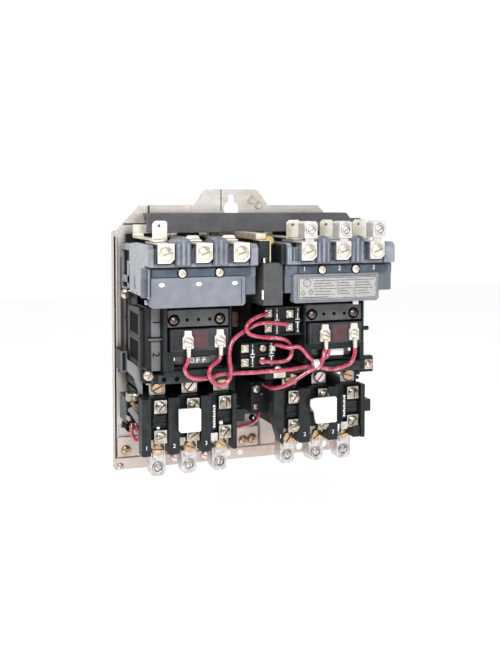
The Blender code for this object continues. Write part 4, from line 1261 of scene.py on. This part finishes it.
def load_lug(side, pole):
    node, front = f"load_lug_{side}_{pole}", -69.3
    at = middle_x(node)
    turns = [math.pi / 2 * k / 4 for k in range(5)]
    outline = [(at - 7, -93), (at - 7, -107)]
    outline += [(at - 3.4 - 3.4 * math.cos(t) - 0.2, -107.6 - 5.3 * math.sin(t)) for t in turns]
    outline += [(at + 3.4 + 3.4 * math.sin(t) + 0.2, -107.6 - 5.3 * math.cos(t)) for t in turns]
    outline += [(at + 7, -107), (at + 7, -93), (at + 5.6, -91.6), (at - 5.6, -91.6)]
    way = Shape().block((at - 5, at + 5), (front + 2.8, front + 13.3), (-118, -95.5), 0)
    shape = carved(Shape().prism("y", outline, front, front + 15, 0.7), way)
    shape.blocks(at, (-4.7, 4.7, front - 1.3, front + 0.1, -97, -78.3, 0.5))
    turn = {"left": 20, "right": -35}[side] + 18 * (pole - 2)
    shape.stamp("cheese_slot", (at, front - 1.2, -88.2), 5.2, 3.4, turn, slot=1)
    shape.stamp("clamp", (at, front, -105.0), 4.8, 1.6, 35 + 20 * pole)
    piece(f"box_lug_{side}_{pole}", shape, "lug bronze", node, slot="lug_alloy")


def overload(side):
    x, left = OVERLOAD_X[side], side == "left"
    top = Box(f"overload_body_{side}").z1
    slit = (-13.8, -8.6, -92, -61, -62.6, -57.4, 0)
    shape = carved(Shape().blocks(x, (-41, 38, -80, SEAT, -78, top, 0)), Shape().blocks(x, slit))
    for low, high in RIBS[side]:
        outline = [(low, top), (low, -89.4), (low + 0.7, -90), (high - 0.7, -90), (high, -89.4),
                   (high, top)]
        if low < -48:
            outline = [(low, top), (low, -66), (low + 6.4, -87.5), (low + 7.2, -89.6),
                       (high - 0.8, -89.9), (high, -88.6), (high, top)]
        rib = Shape().prism("y", [(x + a, z) for a, z in outline], -88, -75.2, 0.5)
        shape.add(carved(rib, Shape().blocks(x, slit)) if low < -10 else rib)
    for number in POLES:
        shape.blocks(heater_x(side, number), (-6.2, 6.2, -82.5, -79, -67.6, -55.4, 0.5),
                     (-5.9, 5.9, -83.6, -79, -59.6, -56.8, 0.5),
                     (-5.9, 5.9, -83.6, -79, -65.8, -63.0, 0.5),
                     *((-5.4, 5.4, -85.1, -79, z0 + 0.3, z1 - 0.3, 0.5)
                       for z0, z1 in TERMINAL_ROWS))
    outer = (-41.8, -40.6) if left else (37.6, 38.8)
    shape.blocks(x, (-52, -40, -58, -30, -68, -45, 0.8), (38, 47, -86, -76, -67, -56, 0.7),
                 *((*outer, -74, PANEL_FRONT - 1, z, z + 1.8, 0.4) for z in (-74, -50)),
                 *((*outer, y, y + 1.8, -73, -48, 0.4) for y in (-42, -18)))
    if not left:
        shape.blocks(x, (28.5, 35.5, -87.5, -75, -89.6, -79, 0.7))
    piece(f"overload_case_{side}", shape, "black", f"overload_body_{side}")

    for number in POLES:
        at = heater_x(side, number)
        clamps = Shape()
        for row, (z0, z1) in enumerate(TERMINAL_ROWS):
            clamps.blocks(at, (-5.7, 5.7, -86.6, -84.8, z0, z1, 0.6))
            clamps.stamp("pan_slot", (at + 0.3, -86.5, (z0 + z1) / 2 - 0.2), 4.8, 2.2,
                         -30 - 20 * number + 35 * row, slot=1)
        # the clamps and screws take the darker tin and screw copies: painted shade
        piece(f"heater_terminals_{side}_{number}", clamps, "dull aged")

    outline = {
        "left": ((-14.8, -68.6), (-14.8, -50.4), (-14.4, -50), (3.0, -50), (4.2, -51.2),
                 (4.2, -69), (3.2, -70), (-13.2, -70)),
        "right": ((-11.2, -72), (-12.2, -68), (-13.4, -60), (-15.4, -58.6), (-16.6, -56),
                  (-16.4, -50.4), (-12.6, -49.4), (7.0, -49), (8.4, -50.4), (8.4, -71.2),
                  (7.6, -72)),
    }[side]
    paddle = Shape().prism("y", [(x + a, z) for a, z in outline], -96, -92.5, 0.7, 3)
    paddle.blocks(x, (-13.2, -9.2, -93, -65, -62, -58, 0.4))
    piece(f"reset_lever_{side}", paddle, "white", f"reset_paddle_{side}", body=f"reset_{side}")

    at, half = (CENTRE[side] + 20.4, 1.7) if left else (CENTRE[side] + 20.0, 1.9)
    fitting(f"rating_strip_{side}", "satin", (-half, half, -88.25, -87.8, -71, -49, 0.15), at=at)
    fitting(f"rating_marks_{side}", "white", at=at,
            *((-1.0 + 0.5 * (k % 2), 1.0, -88.42, -88.2, -51.75 - 2.2 * k, -50.25 - 2.2 * k, 0.1)
              for k in range(9)))
    fitting(f"setting_tag_{side}", "lug", (-3.1, 3.1, -89.0, -87.8, -81, -74, 0.4), at=at,
            slot="white_moulding")
    for n, (low, high) in zip(POLES, RIBS[side]):
        shift = 1.6 if n == 1 and not left else 0
        mark = Shape().numeral(str(n), (x + (low + high) / 2 + shift, -88.1, -82.6), 5.0)
        piece(f"load_number_{side}_{n}", mark, "white")
    if left:
        fitting("white_catches_left", "white", (-31.6, -28.8, -84.6, -83, -68.2, -66.0, 0.5),
                (23.4, 26.4, -86.9, -84, -67.8, -64.8, 0.5), at=x)


# ======================================================================== small fittings
def slanted(middle, half_length, half_width, depth, turn, r=0.4):
    """A bar that lies in a plane parallel to the wall, turned clockwise by degrees."""
    bar = Shape().block((-half_length, half_length), depth, (-half_width, half_width), r)
    return bar.move(Matrix.Translation((middle[0], 0, middle[1]))
                    @ Matrix.Rotation(math.radians(turn), 4, "Y"))


def left_fittings():
    """The latch bracket and the auxiliary terminals on the left relay's side."""
    bracket = Shape().prism("y", [(-111.6, -10.0), (-100.3, -17.6), (-99.4, -31.2), (-98.4, -32.2),
                                  (-98.7, -41.7), (-102.1, -39.7), (-106, -26.5), (-111.6, -20.4)],
                            -66.6, -65.0, 0.4)
    bracket.blocks(0, (-100.3, -99.2, -70, -65.6, -30.8, -17.8, 0.3))
    piece("latch_bracket", bracket, "mid")
    fitting("latch_window", "pale", *((a, b, -41, -38.5, c, d, 0.4) for a, b, c, d in (
        (-111.8, -106.3, -8.6, -7.2), (-111.8, -106.3, -25.6, -24.2),
        (-111.8, -110.6, -25, -8), (-107.6, -106.3, -25, -8))))
    fitting("latch_window_back", "black",
            (-111.4, -106.5, -39.2, PANEL_FRONT - 0.2, -25.4, -7.4, 0.4))
    side = Shape().blocks(0, (-111.8, -101.2, -67, -58, -46.6, -39.8, 0.6))
    side.stamp("pan_cross", (-104.6, -67, -43.0), 3.2, 1.4, 30)
    side.add(slanted((-99.6, -54.6), 7.4, 1.2, (-68, -65.5), 50))
    side.blocks(0, (-111.4, -108.6, -66, -58, -63.6, -59.4, 0.5))
    # the side terminals take the darker tin copy: painted shade
    piece("side_terminals_left", side, "dull")
    piece("side_contact_left", slanted((-103.4, -52.6), 7.6, 1.9, (-67.4, -64.8), 50, 0.5),
          "bronze", slot="silver_copper")
    piece("side_lever_left", slanted((-103.6, -61.4), 10.8, 2.5, (-66, -64), 57), "mid")
    loop = [(-107.2, -62, -66.5), (-108.0, -64, -71), (-107.2, -64, -76.6), (-104.6, -64, -80.8),
            (-101.8, -64, -80.4), (-101.2, -63.5, -75.4), (-103.0, -63, -70.4),
            (-104.6, -61, -66.5)]
    piece("side_loop_left", Shape().tube(loop, LEAD_RADIUS, 14), "wire")
    fitting("side_plug_left", "void", ("y", (-108.6, -71.2), 3.3, -61.6, -40, 0.8, 24))
    piece("side_plug_number", Shape().numeral("3", (-108.7, -61.7, -71.2), 5.2), "white")
    fitting("cover_clip_left", "lug", (-106, -101.4, -110.2, -106.8, 40.7, 44.7, 0.7),
            slot="white_moulding")
    fitting("flank_screw", "rose", ("pan_combo", -106.8, -40, 43.4, 4.4, 2.6, 25),
            ("y", (-106.8, 43.4), 4.6, -40.4, -38.6, 0.3))


def middle_fittings():
    """Screws, straps and the loose lead seen between the two relays."""
    fitting("side_terminals_right", "rose", ("pan_combo", 7.3, -61, -43.9, 4.2, 2.4, 20),
            (4.6, 8.6, -61.5, -60, -63.2, -58.6, 0.5), (11.6, 13.8, -61.5, -60, -50.6, -48.6, 0.4))
    fitting("side_block_right", "black", (2.4, 24, -60, PANEL_FRONT - 0.4, -67, -38, 0.9))
    fitting("side_plug_right", "void", ("y", (4.4, -71.1), 3.0, -60.5, -56, 0.8, 24))
    piece("side_plug_number_right", Shape().numeral("4", (4.4, -60.6, -71.1), 4.2), "white")
    lead = [(10.4, -57, -63), (10.6, -58.5, -68), (8.6, -57, -74), (3, -50, -79.5),
            (-5, -40, -83.5), (-14, -28, -86.5), (-20, -21, -88), (-24.4, -16.5, -88.9),
            (-27, PANEL_FRONT - 2.6, -89.4), (-28, PANEL_FRONT, -89.6)]
    piece("side_lead_right", Shape().tube(lead, LEAD_RADIUS, 14), "wire")
    fitting("lead_grommet", "black",
            ("y", (-28, -89.6), 3.6, PANEL_FRONT - 1.8, PANEL_FRONT - 0.05, 0.7, 28))
    fitting("copper_strap", "rust", (-15.6, -9.8, -60.5, -58.5, 12.5, 26, 0.4))
    fitting("right_lead_terminals", "cream", ("pan_slot", 10.4, -106.4, -19.4, 3.2, 2.0, 20),
            (9.6, 20.6, -99, -97.6, -28.2, -21.6, 0.5))
    fitting("lead_terminal_block", "black", (2, 26, -97.8, -60, -29.4, -19.4, 0.7))


# ======================================================================== build
def main():
    for make in (studio, control_wires, mounting_panel, insulating_bar, bus_straps, interlock,
                 auxiliary_blocks, nameplate):
        make()
    for side in SIDES:
        for make in (contactor_base, arc_block, arc_cover, retainer, coil, magnet_and_carrier,
                     overload):
            make(side)
        for pole in POLES:
            line_terminal(side, pole)
            load_strap(side, pole)
            load_lug(side, pole)
    left_fittings()
    middle_fittings()


main()
